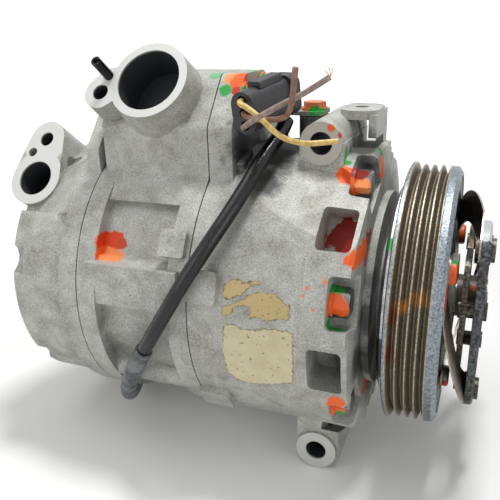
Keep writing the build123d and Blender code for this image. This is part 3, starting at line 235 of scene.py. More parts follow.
def cast_finish(name, marks, dirt_and_shade, faces, shaded_bores):
    """Bead-blasted die-cast aluminium: pale, grainy and dull, with milled faces, soot, paint, and
    painted shade in its pockets and bores.
    """
    material, tree, shader, place = start_material(name, metallic=0.3, roughness=0.6)
    grain = speckle(tree, place, GRAIN_MM, low=0.3, high=0.7)
    blotches = speckle(tree, place, BLOTCH_MM, detail=5.0, low=0.42, high=0.7)
    colour = blend_colours(tree, grain, GREY_ALUMINIUM, PALE_ALUMINIUM)
    wear = speckle(tree, place, 5.0, detail=6.0, low=0.42, high=0.62)
    colour = blend_colours(tree, combine(tree, "MULTIPLY", wear, 0.3), colour, WORN_ALUMINIUM)
    stained = combine(tree, "MULTIPLY", blotches, 0.4)
    colour = blend_colours(tree, stained, colour, STAINED_ALUMINIUM)
    pits = combine(tree, "MULTIPLY", blotches, speckle(tree, place, 1.1, low=0.45, high=0.62))
    colour = blend_colours(tree, combine(tree, "MULTIPLY", pits, 0.38), colour, OILY_DIRT)
    dots = speckle(tree, place, 0.9, detail=2.0, low=0.66, high=0.72)
    colour = blend_colours(tree, combine(tree, "MULTIPLY", dots, 0.55), colour, PIT_DARK)
    # darker patches: oily soot, and painted shade in pockets and under parts
    for middle_mm, radius_mm, strength in dirt_and_shade:
        patch = daub(tree, place, middle_mm, radius_mm, edge_mm=radius_mm * 0.35)
        colour = blend_colours(tree, combine(tree, "MULTIPLY", patch, strength), colour, SHADE_AND_SOOT)
    for normal, middle_mm, radius_mm, face_colour in faces:
        milled = on_face(tree, place, normal, middle_mm, radius_mm)
        colour = blend_colours(tree, milled, colour, face_colour)
    # the walls and floors of the bores are painted dark as shade
    for bore in shaded_bores:
        colour = blend_colours(tree, in_bore(tree, place, *bore), colour, BORE_SHADE)
    painted(tree, shader, place, colour, marks)
    bump(tree, shader, grain, depth_mm=0.05)
    return material


# the ports lean forward from upright; Y and Z of their faces follow from that
PORT_LEAN = math.radians(37.8)
PORT_AXIS = (0.0, -math.cos(PORT_LEAN), math.sin(PORT_LEAN))
FORWARD = (0.0, -1.0, 0.0)


def port_point(x, across, height):
    """A point of a port face in mm, from its place across the face and its height on the axis."""
    return (
        x,
        across * math.sin(PORT_LEAN) - height * math.cos(PORT_LEAN),
        across * math.cos(PORT_LEAN) + height * math.sin(PORT_LEAN),
    )


# paint marks: the middle in mm in the part's frame, the radius in mm, and the paint
FRONT_MARKS = (
    # bolts and seam of the tower
    ((-77.6, -19.6, 90.6), 3.3, MARK_PALE_ORANGE),
    ((-74.2, -19.6, 90.6), 3.0, MARK_ORANGE),
    ((-75.4, -21.7, 88.3), 2.6, MARK_ORANGE),
    # red under the bolt head: painted shade over its orange paint
    ((-74.8, -23.8, 86.0), 1.9, MARK_RED),
    ((-79.2, -23.6, 86.1), 2.6, MARK_GREEN),
    ((-75.0, -6.0, 92.0), 2.2, MARK_GREEN),
    # upper ear and the lugs beside it
    ((-36.2, -24.2, 72.9), 1.5, MARK_ORANGE),
    ((-32.3, -23.4, 70.2), 1.3, MARK_RED),
    ((-31.4, -19.4, 62.4), 2.6, MARK_GREEN),
    ((-30.3, -21.1, 59.0), 1.8, MARK_GREEN),
    ((-29.4, -23.2, 54.4), 4.2, MARK_ORANGE),
    ((-24.8, -20.6, 44.5), 3.2, MARK_RED),
    ((-22.6, -22.9, 43.4), 2.0, MARK_ORANGE),
    ((-19.2, -6.6, 54.4), 4.4, MARK_ORANGE),
    ((-20.8, -8.5, 61.7), 1.2, MARK_GREEN),
    # the open pocket above the middle of the barrel
    ((-25.6, -34.4, 33.0), 8.0, MARK_DARK_RED),
    ((-23.0, -39.6, 30.0), 6.0, MARK_RED),
    ((-18.8, -40.6, 31.6), 4.6, MARK_ORANGE),
    ((-18.8, -46.5, 31.4), 4.0, MARK_ORANGE),
    ((-20.1, -52.8, 31.4), 3.6, MARK_ORANGE),
    # round the foremost bolt's pocket
    ((-27.6, -57.6, 7.2), 3.2, MARK_GREEN),
    ((-24.2, -57.6, 5.9), 3.0, MARK_GREEN),
    ((-34.8, -60.3, 22.3), 0.9, "#DE8A62"),
    ((-35.9, -61.3, 19.5), 0.7, "#DE8A62"),
    ((-28.5, -59.2, 25.1), 0.9, "#DE8A62"),
    ((-31.9, -62.5, 15.1), 0.7, "#DE8A62"),
    # lower edge and nose
    ((-23.6, -57.6, -24.8), 3.4, MARK_ORANGE),
    ((-25.6, -56.8, -27.2), 2.6, MARK_ORANGE),
    ((-18.4, -29.4, -34.4), 3.6, MARK_ORANGE),
)
FRONT_SHADE_AND_SOOT = (
    # middle, radius, strength: painted shade and oily soot under the connector, in the pockets and
    # round the nose
    ((-66.0, -14.0, 62.0), 18.0, 0.94),
    ((-70.0, -26.0, 66.0), 9.0, 0.9),
    ((-60.0, -34.0, 53.0), 7.0, 0.8),
    ((-58.0, -2.0, 60.0), 14.0, 0.9),
    ((-26.0, -8.0, 60.0), 8.0, 0.85),
    ((-22.0, -46.0, -12.0), 8.0, 0.75),
    ((-16.2, -40.0, 4.0), 7.0, 0.75),
    ((-15.7, -34.0, -16.0), 9.0, 0.8),
    ((-15.7, -16.0, -34.0), 9.0, 0.7),
    ((-15.7, -34.0, 16.0), 6.0, 0.6),
    ((-70.0, -56.0, -22.0), 3.0, 0.35),
)
# milled faces: normal, middle, radius and colour; bores, painted dark inside as shade: mouth, axis,
# radius and depth
FRONT_FACES = (
    (FORWARD, (-40.1, -24.2, 66.7), 8.6, "#B5B2A9"),
    (FORWARD, (-36.4, -39.2, -64.5), 10.0, MILLED_ALUMINIUM),
)
FRONT_BORES = (
    ((-40.1, -24.2, 66.7), FORWARD, 4.5, 48.0),
    ((-36.4, -39.2, -64.5), FORWARD, 4.5, 20.0),
)
BLOCK_MARKS = (
    ((-85.0, -18.6, 91.4), 2.4, "#74B982"),
    ((-123.6, -52.0, 27.4), 4.4, "#D8400F"),
    ((-119.6, -50.4, 27.6), 4.2, "#DE4712"),
    ((-116.8, -49.6, 26.6), 2.6, "#C8482A"),
    ((-124.4, -54.2, 22.6), 3.4, MARK_ORANGE),
    ((-121.4, -54.6, 22.4), 3.6, MARK_PALE_ORANGE),
    ((-117.6, -54.4, 22.4), 3.2, MARK_PALE_ORANGE),
)
# darker patches low on the near side of the block
BLOCK_DARK_PATCHES = (((-104.0, -60.0, -14.0), 9.0, 0.2), ((-120.0, -52.0, -22.0), 5.0, 0.3))
SUCTION_MOUTH = port_point(-107.2, 50.4, 83.5)
STUD_MOUTH = port_point(-127.4, 44.5, 83.5)
BLOCK_FACES = (
    (PORT_AXIS, SUCTION_MOUTH, 20.0, MILLED_ALUMINIUM),
    (PORT_AXIS, STUD_MOUTH, 11.0, MILLED_ALUMINIUM),
)
BLOCK_BORES = ((SUCTION_MOUTH, PORT_AXIS, 13.3, 34.0), (STUD_MOUTH, PORT_AXIS, 3.4, 16.0))
DISCHARGE_MOUTH = port_point(-169.9, 16.0, 56.6)
SCREW_MOUTH = port_point(-170.2, 35.5, 56.6)
REAR_FACES = (
    (PORT_AXIS, DISCHARGE_MOUTH, 13.5, MILLED_ALUMINIUM),
    (PORT_AXIS, SCREW_MOUTH, 12.0, MILLED_ALUMINIUM),
)
REAR_BORES = (
    (DISCHARGE_MOUTH, PORT_AXIS, 8.2, 24.0),
    (SCREW_MOUTH, PORT_AXIS, 3.4, 14.0),
)
# a round cast plug mark on the flank of the discharge block, and a painted shadow under the ledge
# below the block
REAR_PLUG_AND_SHADOW = (((-158.6, -31.0, 52.6), 2.6, 0.35), ((-156.0, -45.0, 30.0), 4.0, 0.3))
dress(
    ["front_housing"],
    cast_finish(
        "blasted_cast_aluminium_front", FRONT_MARKS, FRONT_SHADE_AND_SOOT, FRONT_FACES, FRONT_BORES
    ),
)
dress(
    ["cylinder_block"],
    cast_finish(
        "blasted_cast_aluminium_block", BLOCK_MARKS, BLOCK_DARK_PATCHES, BLOCK_FACES, BLOCK_BORES
    ),
)
dress(
    ["rear_housing"],
    cast_finish(
        "blasted_cast_aluminium_rear", (), REAR_PLUG_AND_SHADOW, REAR_FACES, REAR_BORES
    ),
)

# ---- seam gaskets, plates and snap rings --------------------------------------------------------
# Rubber-coated steel gaskets and phosphated rings: matte, near black.
material, tree, shader, place = start_material("phosphated_steel", metallic=0.6, roughness=0.55)
dust = speckle(tree, place, 0.8)
tree.links.new(blend_colours(tree, dust, "#17181A", "#2C2D2E"), shader.inputs["Base Color"])
bump(tree, shader, dust, depth_mm=0.03)
dress(
    [
        "front_gasket", "rear_gasket", "head_gasket", "shaft_seal", "port_pin", "seal_snap_ring",
        "coil_snap_ring", "bearing_snap_ring",
    ],
    material,
)


def worn_steel(name, pale, dark, roughness, grain_mm=0.7, marks=()):
    """Machined or rolled steel that has been handled: two greys in a fine grain."""
    material, tree, shader, place = start_material(name, metallic=1.0, roughness=roughness)
    grain = speckle(tree, place, grain_mm, low=0.35, high=0.65)
    stains = speckle(tree, place, 9.0, detail=5.0, low=0.45, high=0.7)
    colour = blend_colours(tree, grain, dark, pale)
    colour = blend_colours(tree, combine(tree, "MULTIPLY", stains, 0.5), colour, "#4A3B2C")
    painted(tree, shader, place, colour, marks)
    bump(tree, shader, grain, depth_mm=0.04)
    return material


# ---- inner works --------------------------------------------------------------------------------
# Ground and turned parts inside the castings, seen only where a port or the clutch is open.
dress(
    [
        "drive_shaft", "lug_plate", "return_spring", "front_needle_cup", "rear_needle_cup",
        "front_needles", "rear_needles", "front_thrust_bearing", "bearing_inner_ring",
        "bearing_outer_ring", "bearing_balls", "piston_shoes", "suction_reed_plate", "valve_plate",
        "discharge_reed_plate",
    ],
    worn_steel("ground_bearing_steel", "#B9BABB", "#8F9091", roughness=0.28),
)
dress(["swash_plate"], worn_steel("coated_bronze", "#8A6B3C", "#6F552E", roughness=0.4))
dress(
    [f"piston_{k}" for k in range(1, 8)],
    worn_steel("turned_aluminium", "#C4C4C2", "#A5A5A3", roughness=0.35),
)
dress(
    ["control_valve_body", "control_valve_plunger"],
    worn_steel("yellow_brass", "#9C8450", "#6E5C34", roughness=0.38),
)

# ---- screws -------------------------------------------------------------------------------------
# Seven long hexagon screws clamp the castings; their heads carry the torque inspector's paint.
SCREW_MARKS = (
    ((-26.0, -27.6, 51.6), 4.4, MARK_ORANGE),
    ((-22.6, -26.6, 51.6), 3.4, MARK_PALE_ORANGE),
    ((-24.5, -23.8, 56.6), 3.4, MARK_DARK_RED),
    ((-25.1, -54.4, 20.8), 3.0, MARK_GREEN),
    ((-24.6, -58.4, 15.6), 4.6, MARK_ORANGE),
    ((-26.0, -51.0, -33.6), 4.4, MARK_ORANGE),
    ((-24.0, -48.0, -35.0), 2.4, MARK_GREEN),
    ((-70.6, -20.5, 89.0), 4.0, MARK_ORANGE),
    # red under the bolt head: painted shade over its orange paint
    ((-69.0, -22.5, 82.5), 3.4, MARK_RED),
    ((-71.2, -25.2, 86.6), 2.0, MARK_GREEN),
    ((-70.0, -1.0, 89.6), 5.4, MARK_ORANGE),
    ((-70.6, -4.0, 91.0), 1.8, MARK_GREEN),
)
dress(
    ["through_bolts", "tower_bolts", "relief_valve", "hub_screw"],
    worn_steel("zinc_plated_steel", "#9A9B99", "#6C6C69", roughness=0.42, marks=SCREW_MARKS),
)

# ---- clutch coil and pulley ---------------------------------------------------------------------
# The coil is wound in a plated steel ring fixed to the front housing. The pulley is a steel turning
# with four belt grooves: bright, worn rib tips over brown, rusted flanks.
dress(
    ["field_coil_shell"],
    worn_steel(
        "tin_plated_steel", "#D2D4D5", "#A9ABAC", roughness=0.33,
        marks=(((-9.9, -34.8, 32.3), 2.6, "#2DB34A"), ((-10.6, -44.0, -10.0), 9.0, "#201F1D")),
    ),
)
material, tree, shader, place = start_material("epoxy_potting", metallic=0.0, roughness=0.6)
lumps = speckle(tree, place, 1.5)
tree.links.new(blend_colours(tree, lumps, "#101010", "#232220"), shader.inputs["Base Color"])
bump(tree, shader, lumps, depth_mm=0.08)
dress(["coil_winding", "bearing_seals"], material)

BELT_FACE_X = (7.4, 7.2)
RIB_TIP_R = 54.5
RIB_FLANK_R = 53.9
material, tree, shader, place = start_material("turned_pulley_steel", metallic=0.9, roughness=0.42)
parts_of_place = add_node(tree, "ShaderNodeSeparateXYZ", {0: place}).outputs
off_axis = add_node(
    tree, "ShaderNodeCombineXYZ", {1: parts_of_place[1], 2: parts_of_place[2]}
).outputs[0]
from_axis = add_node(
    tree, "ShaderNodeVectorMath", {0: off_axis}, operation="LENGTH"
).outputs["Value"]
grain = speckle(tree, place, 0.8, low=0.35, high=0.65)
stain = speckle(tree, place, 6.0, detail=6.0, low=0.4, high=0.62)
rust = blend_colours(tree, grain, "#5D574B", "#8C8371")
rust = blend_colours(tree, combine(tree, "MULTIPLY", stain, 0.25), rust, "#7A5A3A")
steel = blend_colours(tree, grain, "#646C74", "#98A0A6")
worn = add_node(
    tree,
    "ShaderNodeMapRange",
    {"Value": from_axis, "From Min": RIB_FLANK_R * MM, "From Max": RIB_TIP_R * MM},
).outputs["Result"]
in_belt = add_node(
    tree,
    "ShaderNodeMapRange",
    {
        "Value": combine(tree, "ABSOLUTE", parts_of_place[0]),
        "From Min": BELT_FACE_X[0] * MM,
        "From Max": BELT_FACE_X[1] * MM,
    },
).outputs["Result"]
tips = combine(tree, "MULTIPLY", worn, speckle(tree, place, 1.0, low=0.3, high=0.6))
for middle_mm, radius_mm, tone in (
    ((-2.4, -49.5, 14.7), 2.4, "#DA9A34"),
    ((2.8, -49.0, 18.4), 2.8, "#CF8A2C"),
    ((-7.0, -50.6, 11.0), 3.6, "#84451F"),
    ((-7.0, -53.0, -4.0), 4.0, "#7A3D1A"),
):
    patch = combine(tree, "MULTIPLY", daub(tree, place, middle_mm, radius_mm, edge_mm=1.5), 0.75)
    rust = blend_colours(tree, patch, rust, tone)
belt_face = blend_colours(tree, tips, rust, "#D5CDB8")
colour = blend_colours(tree, in_belt, steel, belt_face)
tree.links.new(colour, shader.inputs["Base Color"])
# rusted flanks are less metallic than the bare flanges and rib tips
bare = combine(tree, "MAXIMUM", combine(tree, "SUBTRACT", 1.0, in_belt), tips)
metal = add_node(
    tree, "ShaderNodeMapRange", {"Value": bare, "To Min": 0.45, "To Max": 0.95}
).outputs["Result"]
tree.links.new(metal, shader.inputs["Metallic"])
bump(tree, shader, grain, depth_mm=0.06)
dress(["pulley"], material)
dress(["armature_plate"], worn_steel("oiled_plate_steel", "#4B4E50", "#2C2C2A", roughness=0.45))

# ---- hub, its plates and springs ----------------------------------------------------------------
# The hub, its stop plate and rivets are steel with a dark phosphate coat, rubbed bright on edges;
# the hub's top edge also carries a painted highlight.
dress(
    ["limiter_plate", "hub_rivets"],
    worn_steel("phosphated_stop_steel", "#6B655B", "#2B2A28", roughness=0.42, grain_mm=1.2),
)
dress(
    ["hub"],
    worn_steel(
        "phosphated_hub_steel", "#63686C", "#2A2D30", roughness=0.4, grain_mm=1.2,
        marks=(
            ((14.0, 0.0, 0.0), 19.5, "#5A5041"),
            ((20.6, -6.4, 6.9), 1.4, MARK_ORANGE),
            # pale patch on the top edge: rubbed bright, and a painted highlight
            ((23.0, -20.0, 40.0), 9.0, "#B4B9BD"),
        ),
    ),
)
dress(
    ["armature_rivets"],
    worn_steel(
        "rivet_steel", "#8E8B86", "#5B5853", roughness=0.4,
        marks=(
            ((13.4, -33.4, 22.6), 6.4, MARK_ORANGE),
            ((12.4, -31.0, 27.2), 2.2, MARK_GREEN),
            ((13.4, 33.0, 18.0), 5.6, MARK_ORANGE),
            ((13.0, -5.6, -40.0), 4.0, MARK_RED),
        ),
    ),
)
dress(
    ["leaf_springs"],
    worn_steel(
        "tempered_spring_steel", "#BDB4A6", "#978E80", roughness=0.3,
        marks=(((11.4, -41.6, 16.4), 4.6, "#D9482C"),),
    ),
)

# ---- connector and bracket ----------------------------------------------------------------------
# A moulded three-way connector on a pressed steel bracket that is screwed to the front housing.
material, tree, shader, place = start_material("moulded_nylon", metallic=0.0, roughness=0.42)
texture = speckle(tree, place, 0.6)
tree.links.new(blend_colours(tree, texture, "#1A1B1E", "#2C2E32"), shader.inputs["Base Color"])
bump(tree, shader, texture, depth_mm=0.03)
dress(["connector_body"], material)
BRACKET_MARKS = (
    ((-50.4, 4.5, 77.6), 5.6, "#E27C4C"),
    ((-49.0, -0.2, 75.4), 3.0, MARK_GREEN),
    ((-46.0, 1.4, 75.0), 2.2, MARK_GREEN),
)
dress(
    ["connector_bracket", "bracket_screw"],
    worn_steel("zinc_plated_sheet", "#9C9D98", "#74746F", roughness=0.45, marks=BRACKET_MARKS),
)

# ---- wires --------------------------------------------------------------------------------------
# Three cut wires in thin PVC insulation leave the connector; the lead from the connector to the
# control valve runs in a glossy black sleeve round the near side of the barrel.
WIRE_R = 1.05
LEAD_R = 3.0


def pvc(name, dark, pale):
    """Extruded PVC: an even colour, slightly dusty, with a soft sheen."""
    material, tree, shader, place = start_material(name, metallic=0.0, roughness=0.4)
    dust = speckle(tree, place, 2.0, detail=4.0)
    tree.links.new(blend_colours(tree, dust, dark, pale), shader.inputs["Base Color"])
    bump(tree, shader, dust, depth_mm=0.02)
    return material


def cord_curve(name, route, radius_mm, material):
    """A round cord on one smooth curve through its control points."""
    curve = bpy.data.curves.new(name, "CURVE")
    curve.dimensions = "3D"
    spline = curve.splines.new("NURBS")
    spline.points.add(len(route) - 1)
    for point, position in zip(spline.points, route):
        point.co = (*position, 1.0)
    spline.order_u = 3
    spline.use_endpoint_u = True
    curve.resolution_u = 10
    curve.bevel_depth = radius_mm * MM
    curve.bevel_resolution = 5
    curve.use_fill_caps = True
    curve.materials.append(material)
    piece = bpy.data.objects.new(name, curve)
    bpy.context.scene.collection.objects.link(piece)
    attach(piece, "housing")
    return piece


YELLOW_ROUTE = [
    (-0.06594, -0.03976, 0.08423), (-0.0666, -0.0424, 0.0839), (-0.0614, -0.0460, 0.0828),
    (-0.0555, -0.0470, 0.0789), (-0.0492, -0.0460, 0.0726), (-0.0416, -0.0430, 0.0701),
    (-0.0354, -0.0400, 0.0702), (-0.0301, -0.0380, 0.0707),
]
BROWN_ROUTE = [
    (-0.0657, -0.0390, 0.0795), (-0.0646, -0.0415, 0.0790), (-0.0600, -0.0426, 0.0780),
    (-0.0532, -0.0430, 0.0782), (-0.0470, -0.0465, 0.0796), (-0.0436, -0.0505, 0.0835),
    (-0.0421, -0.0530, 0.0895), (-0.0408, -0.0545, 0.0972),
]
VIOLET_ROUTE = [
    (-0.06546, -0.03824, 0.07477), (-0.0652, -0.0420, 0.0746), (-0.0615, -0.0475, 0.0766),
    (-0.0560, -0.0505, 0.0800), (-0.0480, -0.0485, 0.0843), (-0.0395, -0.0465, 0.0883),
    (-0.0315, -0.0460, 0.0935),
]
LEAD_ROUTE = [
    (-0.0571, -0.0140, 0.0736), (-0.0575, -0.0180, 0.0702), (-0.0586, -0.0245, 0.0662),
    (-0.0612, -0.0342, 0.0605), (-0.0655, -0.0486, 0.0483), (-0.0726, -0.0604, 0.0349),
    (-0.0810, -0.0672, 0.0206), (-0.0892, -0.0690, 0.0066), (-0.0986, -0.0674, -0.0080),
    (-0.1070, -0.0634, -0.0205), (-0.1195, -0.0534, -0.0400), (-0.1295, -0.0390, -0.0560),
    (-0.1380, -0.0220, -0.0652), (-0.1450, -0.0075, -0.0680), (-0.1503, 0.0048, -0.0660),
]
yellow_pvc = pvc("yellow_pvc", "#CBA85C", "#E4C981")
brown_pvc = pvc("brown_pvc", "#7B5644", "#94705C")
grey_violet_pvc = pvc("grey_violet_pvc", "#86706C", "#A58F84")
WIRES = (
    # node, route, material slot, insulation, length in metres
    ("yellow_wire", YELLOW_ROUTE, "wire_yellow", yellow_pvc, 0.0455),
    ("brown_wire", BROWN_ROUTE, "wire_brown", brown_pvc, 0.0418),
    ("violet_wire", VIOLET_ROUTE, "wire_violet", grey_violet_pvc, 0.0455),
)
for node_name, route, slot_name, insulation, length in WIRES:
    wire = cord_curve(node_name + "_pvc", route, WIRE_R, insulation)
    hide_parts(node_name)

material, tree, shader, place = start_material(
    "glossy_sleeve", metallic=0.0, roughness=0.2, Coat_Weight=0.2, Coat_Roughness=0.1,
    Specular_IOR_Level=0.35,
)
scuffs = speckle(tree, place, 3.0, detail=5.0)
tree.links.new(blend_colours(tree, scuffs, "#040507", "#0B0D10"), shader.inputs["Base Color"])
bump(tree, shader, scuffs, depth_mm=0.08)
lead = cord_curve("valve_lead_sleeve", LEAD_ROUTE, LEAD_R, material)
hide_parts("valve_lead")

# ---- copper strands and the lead's shrink tube --------------------------------------------------
# The longest cut wire shows a few bent copper strands. A grey, dusty heat-shrink tube covers the
# end of the lead at the control valve; it has shrunk unevenly and is wrinkled.
copper, tree, shader, place = start_material("drawn_copper", metallic=1.0, roughness=0.3)
tarnish = speckle(tree, place, 0.4)
tree.links.new(blend_colours(tree, tarnish, "#B4693C", "#D9955F"), shader.inputs["Base Color"])
STRAND_R = 0.14
wire_end = VIOLET_ROUTE[-1]
for number, (bend, tip) in enumerate(
    (
        ((0.0004, 0.0000, 0.0018), (-0.0006, 0.0002, 0.0032)),
        ((0.0006, 0.0004, 0.0012), (0.0008, 0.0006, 0.0028)),
        ((-0.0002, -0.0003, 0.0010), (-0.0018, -0.0002, 0.0020)),
    )
):
    turns = [tuple(a + b for a, b in zip(wire_end, step)) for step in ((0, 0, -0.0003), bend, tip)]
    cord_curve(f"copper_strand_{number + 1}", turns, STRAND_R, copper)

SHRINK_TUBE_R = 3.7
shrink, tree, shader, place = start_material("dusty_heat_shrink", metallic=0.0, roughness=0.5)
wrinkles = speckle(tree, place, 2.2, detail=6.0, low=0.35, high=0.7)
dust = speckle(tree, place, 5.0, detail=4.0, low=0.35, high=0.65)
greys = blend_colours(tree, dust, "#45484C", "#82868A")
tree.links.new(
    blend_colours(tree, combine(tree, "MULTIPLY", wrinkles, 0.35), greys, "#1B1C1E"),
    shader.inputs["Base Color"],
)
bump(tree, shader, wrinkles, depth_mm=0.5)
TUBE_ROUTE = [(-0.1010, -0.0665, -0.0118), *LEAD_ROUTE[9:]]
tube = cord_curve("lead_shrink_tube", TUBE_ROUTE, SHRINK_TUBE_R, shrink)

# ---- label --------------------------------------------------------------------------------------
# A paper label on the near side of the barrel, yellowed and torn in three, its print worn away.
BARREL_R = 62.7
LABEL_GAP = 0.12
PAPER_T = 0.1
CELL_MM = 0.4
LABEL_X = (-69.5, -38.0)
LABEL_TURN = (-26.0, 22.0)
TORN_OUTLINES = (
    # x in mm and turn in degrees above the near side
    (
        (-67.5, 13.1), (-67.7, 17.5), (-64.6, 20.0), (-61.9, 20.3), (-59.5, 19.4), (-56.8, 19.9),
        (-55.0, 20.5), (-51.9, 20.3), (-52.6, 19.2), (-56.2, 18.2), (-58.3, 16.4), (-59.5, 15.1),
        (-62.4, 13.7), (-64.7, 12.6),
    ),
    (
        (-67.9, 10.0), (-64.9, 11.0), (-60.8, 13.1), (-57.7, 14.9), (-55.1, 16.6), (-50.6, 17.3),
        (-47.1, 17.2), (-45.2, 15.8), (-42.4, 14.0), (-40.9, 14.0), (-40.5, 9.2), (-42.0, 8.1),
        (-45.5, 7.9), (-49.5, 6.9), (-51.4, 7.0), (-54.1, 7.7), (-56.4, 6.8), (-56.7, 10.4),
        (-58.3, 11.0), (-60.6, 10.9), (-62.7, 9.4), (-64.3, 6.7), (-67.3, 6.5), (-68.1, 8.1),
    ),
    (
        (-66.9, 4.2), (-62.4, 4.2), (-60.5, 3.0), (-56.3, 3.2), (-54.0, 3.3), (-51.1, 4.4),
        (-43.9, 4.8), (-40.8, 4.8), (-39.3, 4.0), (-38.9, -2.0), (-39.2, -10.5), (-40.1, -17.0),
        (-50.0, -20.4), (-58.7, -22.0), (-64.0, -21.0), (-67.4, -17.5), (-68.3, -7.2),
    ),
)
torn = bmesh.new()
bmesh.ops.create_grid(
    torn,
    x_segments=round((LABEL_X[1] - LABEL_X[0]) / CELL_MM),
    y_segments=round(math.radians(LABEL_TURN[1] - LABEL_TURN[0]) * BARREL_R / CELL_MM),
    size=0.5,
)


def edge_distance(outline, spot):
    """How far a flat spot lies inside an outline in mm; less than nothing outside it."""
    within = False
    nearest = math.inf
    for start, end in zip(outline, (*outline[1:], outline[0])):
        if (start.y > spot.y) != (end.y > spot.y):
            if spot.x < start.x + (spot.y - start.y) * (end.x - start.x) / (end.y - start.y):
                within = not within
        side = end - start
        share = max(0.0, min(1.0, (spot - start).dot(side) / side.length_squared))
        nearest = min(nearest, (start + side * share - spot).length)
    return nearest if within else -nearest


turn_to_mm = math.radians(1) * BARREL_R
outlines = [[Vector((x, turn * turn_to_mm)) for x, turn in outline] for outline in TORN_OUTLINES]
worn_edge = torn.verts.layers.float.new("worn_edge")
for corner in torn.verts:
    flat = Vector(
        (
            LABEL_X[0] + (corner.co.x + 0.5) * (LABEL_X[1] - LABEL_X[0]),
            (LABEL_TURN[0] + (corner.co.y + 0.5) * (LABEL_TURN[1] - LABEL_TURN[0])) * turn_to_mm,
        )
    )
    jitter = noise.noise((flat.x * 0.7, flat.y * 0.7, 0.0)) * 0.7
    corner[worn_edge] = max(edge_distance(outline, flat) for outline in outlines) + jitter
    turn = flat.y / BARREL_R
    lift = BARREL_R + LABEL_GAP + 0.1 * max(0.0, noise.noise((flat.x * 0.2, flat.y * 0.2, 5.0)))
    corner.co = Vector((flat.x, -lift * math.cos(turn), lift * math.sin(turn))) * MM
away = [face for face in torn.faces if min(corner[worn_edge] for corner in face.verts) < 0.0]
bmesh.ops.delete(torn, geom=away, context="FACES")
bmesh.ops.solidify(torn, geom=torn.faces[:], thickness=PAPER_T * MM)
bmesh.ops.recalc_face_normals(torn, faces=torn.faces[:])
label_mesh = bpy.data.meshes.new("paper_label")
torn.to_mesh(label_mesh)
torn.free()
label = bpy.data.objects.new("paper_label", label_mesh)
bpy.context.scene.collection.objects.link(label)
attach(label, "housing")

material, tree, shader, place = start_material("yellowed_paper", metallic=0.0, roughness=0.7)
height = add_node(tree, "ShaderNodeSeparateXYZ", {0: place}).outputs[2]
upper = add_node(
    tree, "ShaderNodeMapRange", {"Value": height, "From Min": 4 * MM, "From Max": 9 * MM}
).outputs["Result"]
blots = speckle(tree, place, 7.0, detail=4.0, low=0.4, high=0.7)
colour = blend_colours(tree, upper, "#D3CCA9", "#C9B482")
colour = blend_colours(tree, combine(tree, "MULTIPLY", blots, 0.4), colour, "#BDA774")
specks = speckle(tree, place, 1.3, detail=2.0, low=0.66, high=0.7)
colour = blend_colours(tree, combine(tree, "MULTIPLY", specks, 0.75), colour, "#4E4636")
inside_edge = add_node(tree, "ShaderNodeAttribute", attribute_name="worn_edge").outputs["Fac"]
fringe = add_node(
    tree, "ShaderNodeMapRange", {"Value": inside_edge, "From Min": 0.75, "From Max": 0.15}
).outputs["Result"]
frayed = combine(tree, "MULTIPLY", fringe, speckle(tree, place, 1.6, low=0.2, high=0.5))
colour = blend_colours(tree, combine(tree, "MULTIPLY", frayed, 0.9), colour, "#5E4C2E")
tree.links.new(colour, shader.inputs["Base Color"])
bump(tree, shader, blots, depth_mm=0.1)
label_mesh.materials.append(material)

# ---- floor, light, camera -----------------------------------------------------------------------
# A white studio floor that runs into the white background: far away it glows for the camera, and
# near the object it hardly does, so that the shadow stays. One rather hard lamp stands overhead and
# slightly behind; large soft lamps fill from the front and sides.
NEAR_GLOW = 0.06
FAR_GLOW = 0.85
GLOW_REACH = (0.25, 1.2)
FLOOR_GAP = 0.0005
FLOOR_REACH = 6.0
floor_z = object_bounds()[0][2] - FLOOR_GAP
floor_mesh = bpy.data.meshes.new("floor")
form = bmesh.new()
bmesh.ops.create_grid(form, x_segments=2, y_segments=2, size=FLOOR_REACH)
form.to_mesh(floor_mesh)
form.free()
floor_mesh.transform(Matrix.Translation((0, 0, floor_z)))
floor = bpy.data.objects.new("floor", floor_mesh)
bpy.context.scene.collection.objects.link(floor)
material, tree, shader, place = start_material("white_studio_floor", metallic=0.0, roughness=0.9)
shader.inputs["Base Color"].default_value = linear("#F7F7F5")
shader.inputs["Emission Color"].default_value = linear("#FFFFFF")
rays = add_node(tree, "ShaderNodeLightPath").outputs
direct = combine(tree, "MAXIMUM", rays["Is Camera Ray"], rays["Is Glossy Ray"])
direct = combine(tree, "MAXIMUM", direct, rays["Is Transmission Ray"])
from_middle = add_node(
    tree, "ShaderNodeVectorMath", {0: place}, operation="LENGTH"
).outputs["Value"]
glow = add_node(
    tree,
    "ShaderNodeMapRange",
    {
        "Value": from_middle, "From Min": GLOW_REACH[0], "From Max": GLOW_REACH[1],
        "To Min": NEAR_GLOW, "To Max": FAR_GLOW,
    },
).outputs["Result"]
tree.links.new(combine(tree, "MULTIPLY", direct, glow), shader.inputs["Emission Strength"])
floor_mesh.materials.append(material)

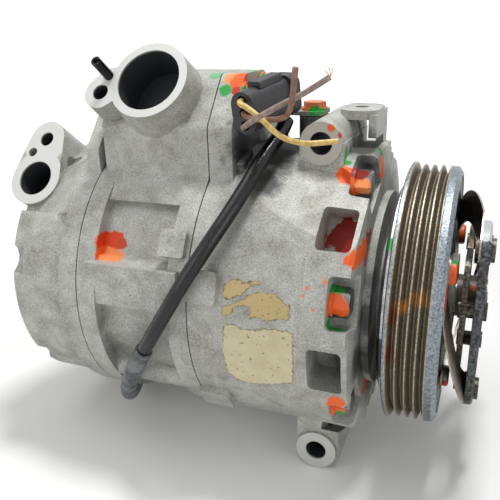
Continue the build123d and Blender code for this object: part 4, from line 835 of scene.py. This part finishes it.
world = bpy.data.worlds.new("studio")
bpy.context.scene.world = world
world.use_nodes = True
sky = world.node_tree
backdrop = sky.nodes["Background"]
backdrop.inputs["Color"].default_value = linear("#FFFFFF")
backdrop.inputs["Strength"].default_value = 0.3
white = add_node(sky, "ShaderNodeBackground", {"Color": linear("#FFFFFF"), "Strength": 1.0})
rays = add_node(sky, "ShaderNodeLightPath").outputs
seen = combine(sky, "MAXIMUM", rays["Is Camera Ray"], rays["Is Glossy Ray"])
seen = combine(sky, "MAXIMUM", seen, rays["Is Transmission Ray"])
shown = add_node(sky, "ShaderNodeMixShader", {0: seen, 1: backdrop.outputs[0], 2: white.outputs[0]})
sky.links.new(shown.outputs[0], sky.nodes["World Output"].inputs["Surface"])


def soft_lamp(name, place, target, size, power):
    """A round area lamp that faces its target."""
    lamp = bpy.data.lights.new(name, "AREA")
    lamp.shape = "DISK"
    lamp.size = size
    lamp.energy = power
    holder = bpy.data.objects.new(name, lamp)
    holder.location = place
    holder.rotation_euler = (Vector(target) - Vector(place)).to_track_quat("-Z", "Y").to_euler()
    bpy.context.scene.collection.objects.link(holder)


MIDDLE = (-0.08, 0.0, 0.0)
soft_lamp("overhead_key", (0.02, 0.1, 0.95), MIDDLE, 0.2, 5.9)
soft_lamp("overhead_soft", (-0.3, -0.2, 0.8), MIDDLE, 0.6, 1.4)
soft_lamp("front_fill", (-0.5, -0.8, 0.35), MIDDLE, 0.6, 1.2)
soft_lamp("side_fill", (0.7, -0.5, 0.2), MIDDLE, 0.5, 1.0)

CAMERA_PLACE = (0.0201, -0.25174, 0.11266)
CAMERA_FORWARD = Vector((-0.34585, 0.86850, -0.35509))
CAMERA_UP = Vector((-0.10510, 0.34021, 0.93446))
lens = bpy.data.cameras.new("camera")
lens.lens = 44.06
lens.sensor_width = 36.0
lens.clip_start = 0.01
camera = bpy.data.objects.new("camera", lens)
right = CAMERA_FORWARD.cross(CAMERA_UP).normalized()
turned = Matrix((right, CAMERA_UP, -CAMERA_FORWARD)).transposed().to_4x4()
camera.matrix_world = Matrix.Translation(CAMERA_PLACE) @ turned
bpy.context.scene.collection.objects.link(camera)
bpy.context.scene.camera = camera
bpy.context.scene.view_settings.view_transform = "Standard"
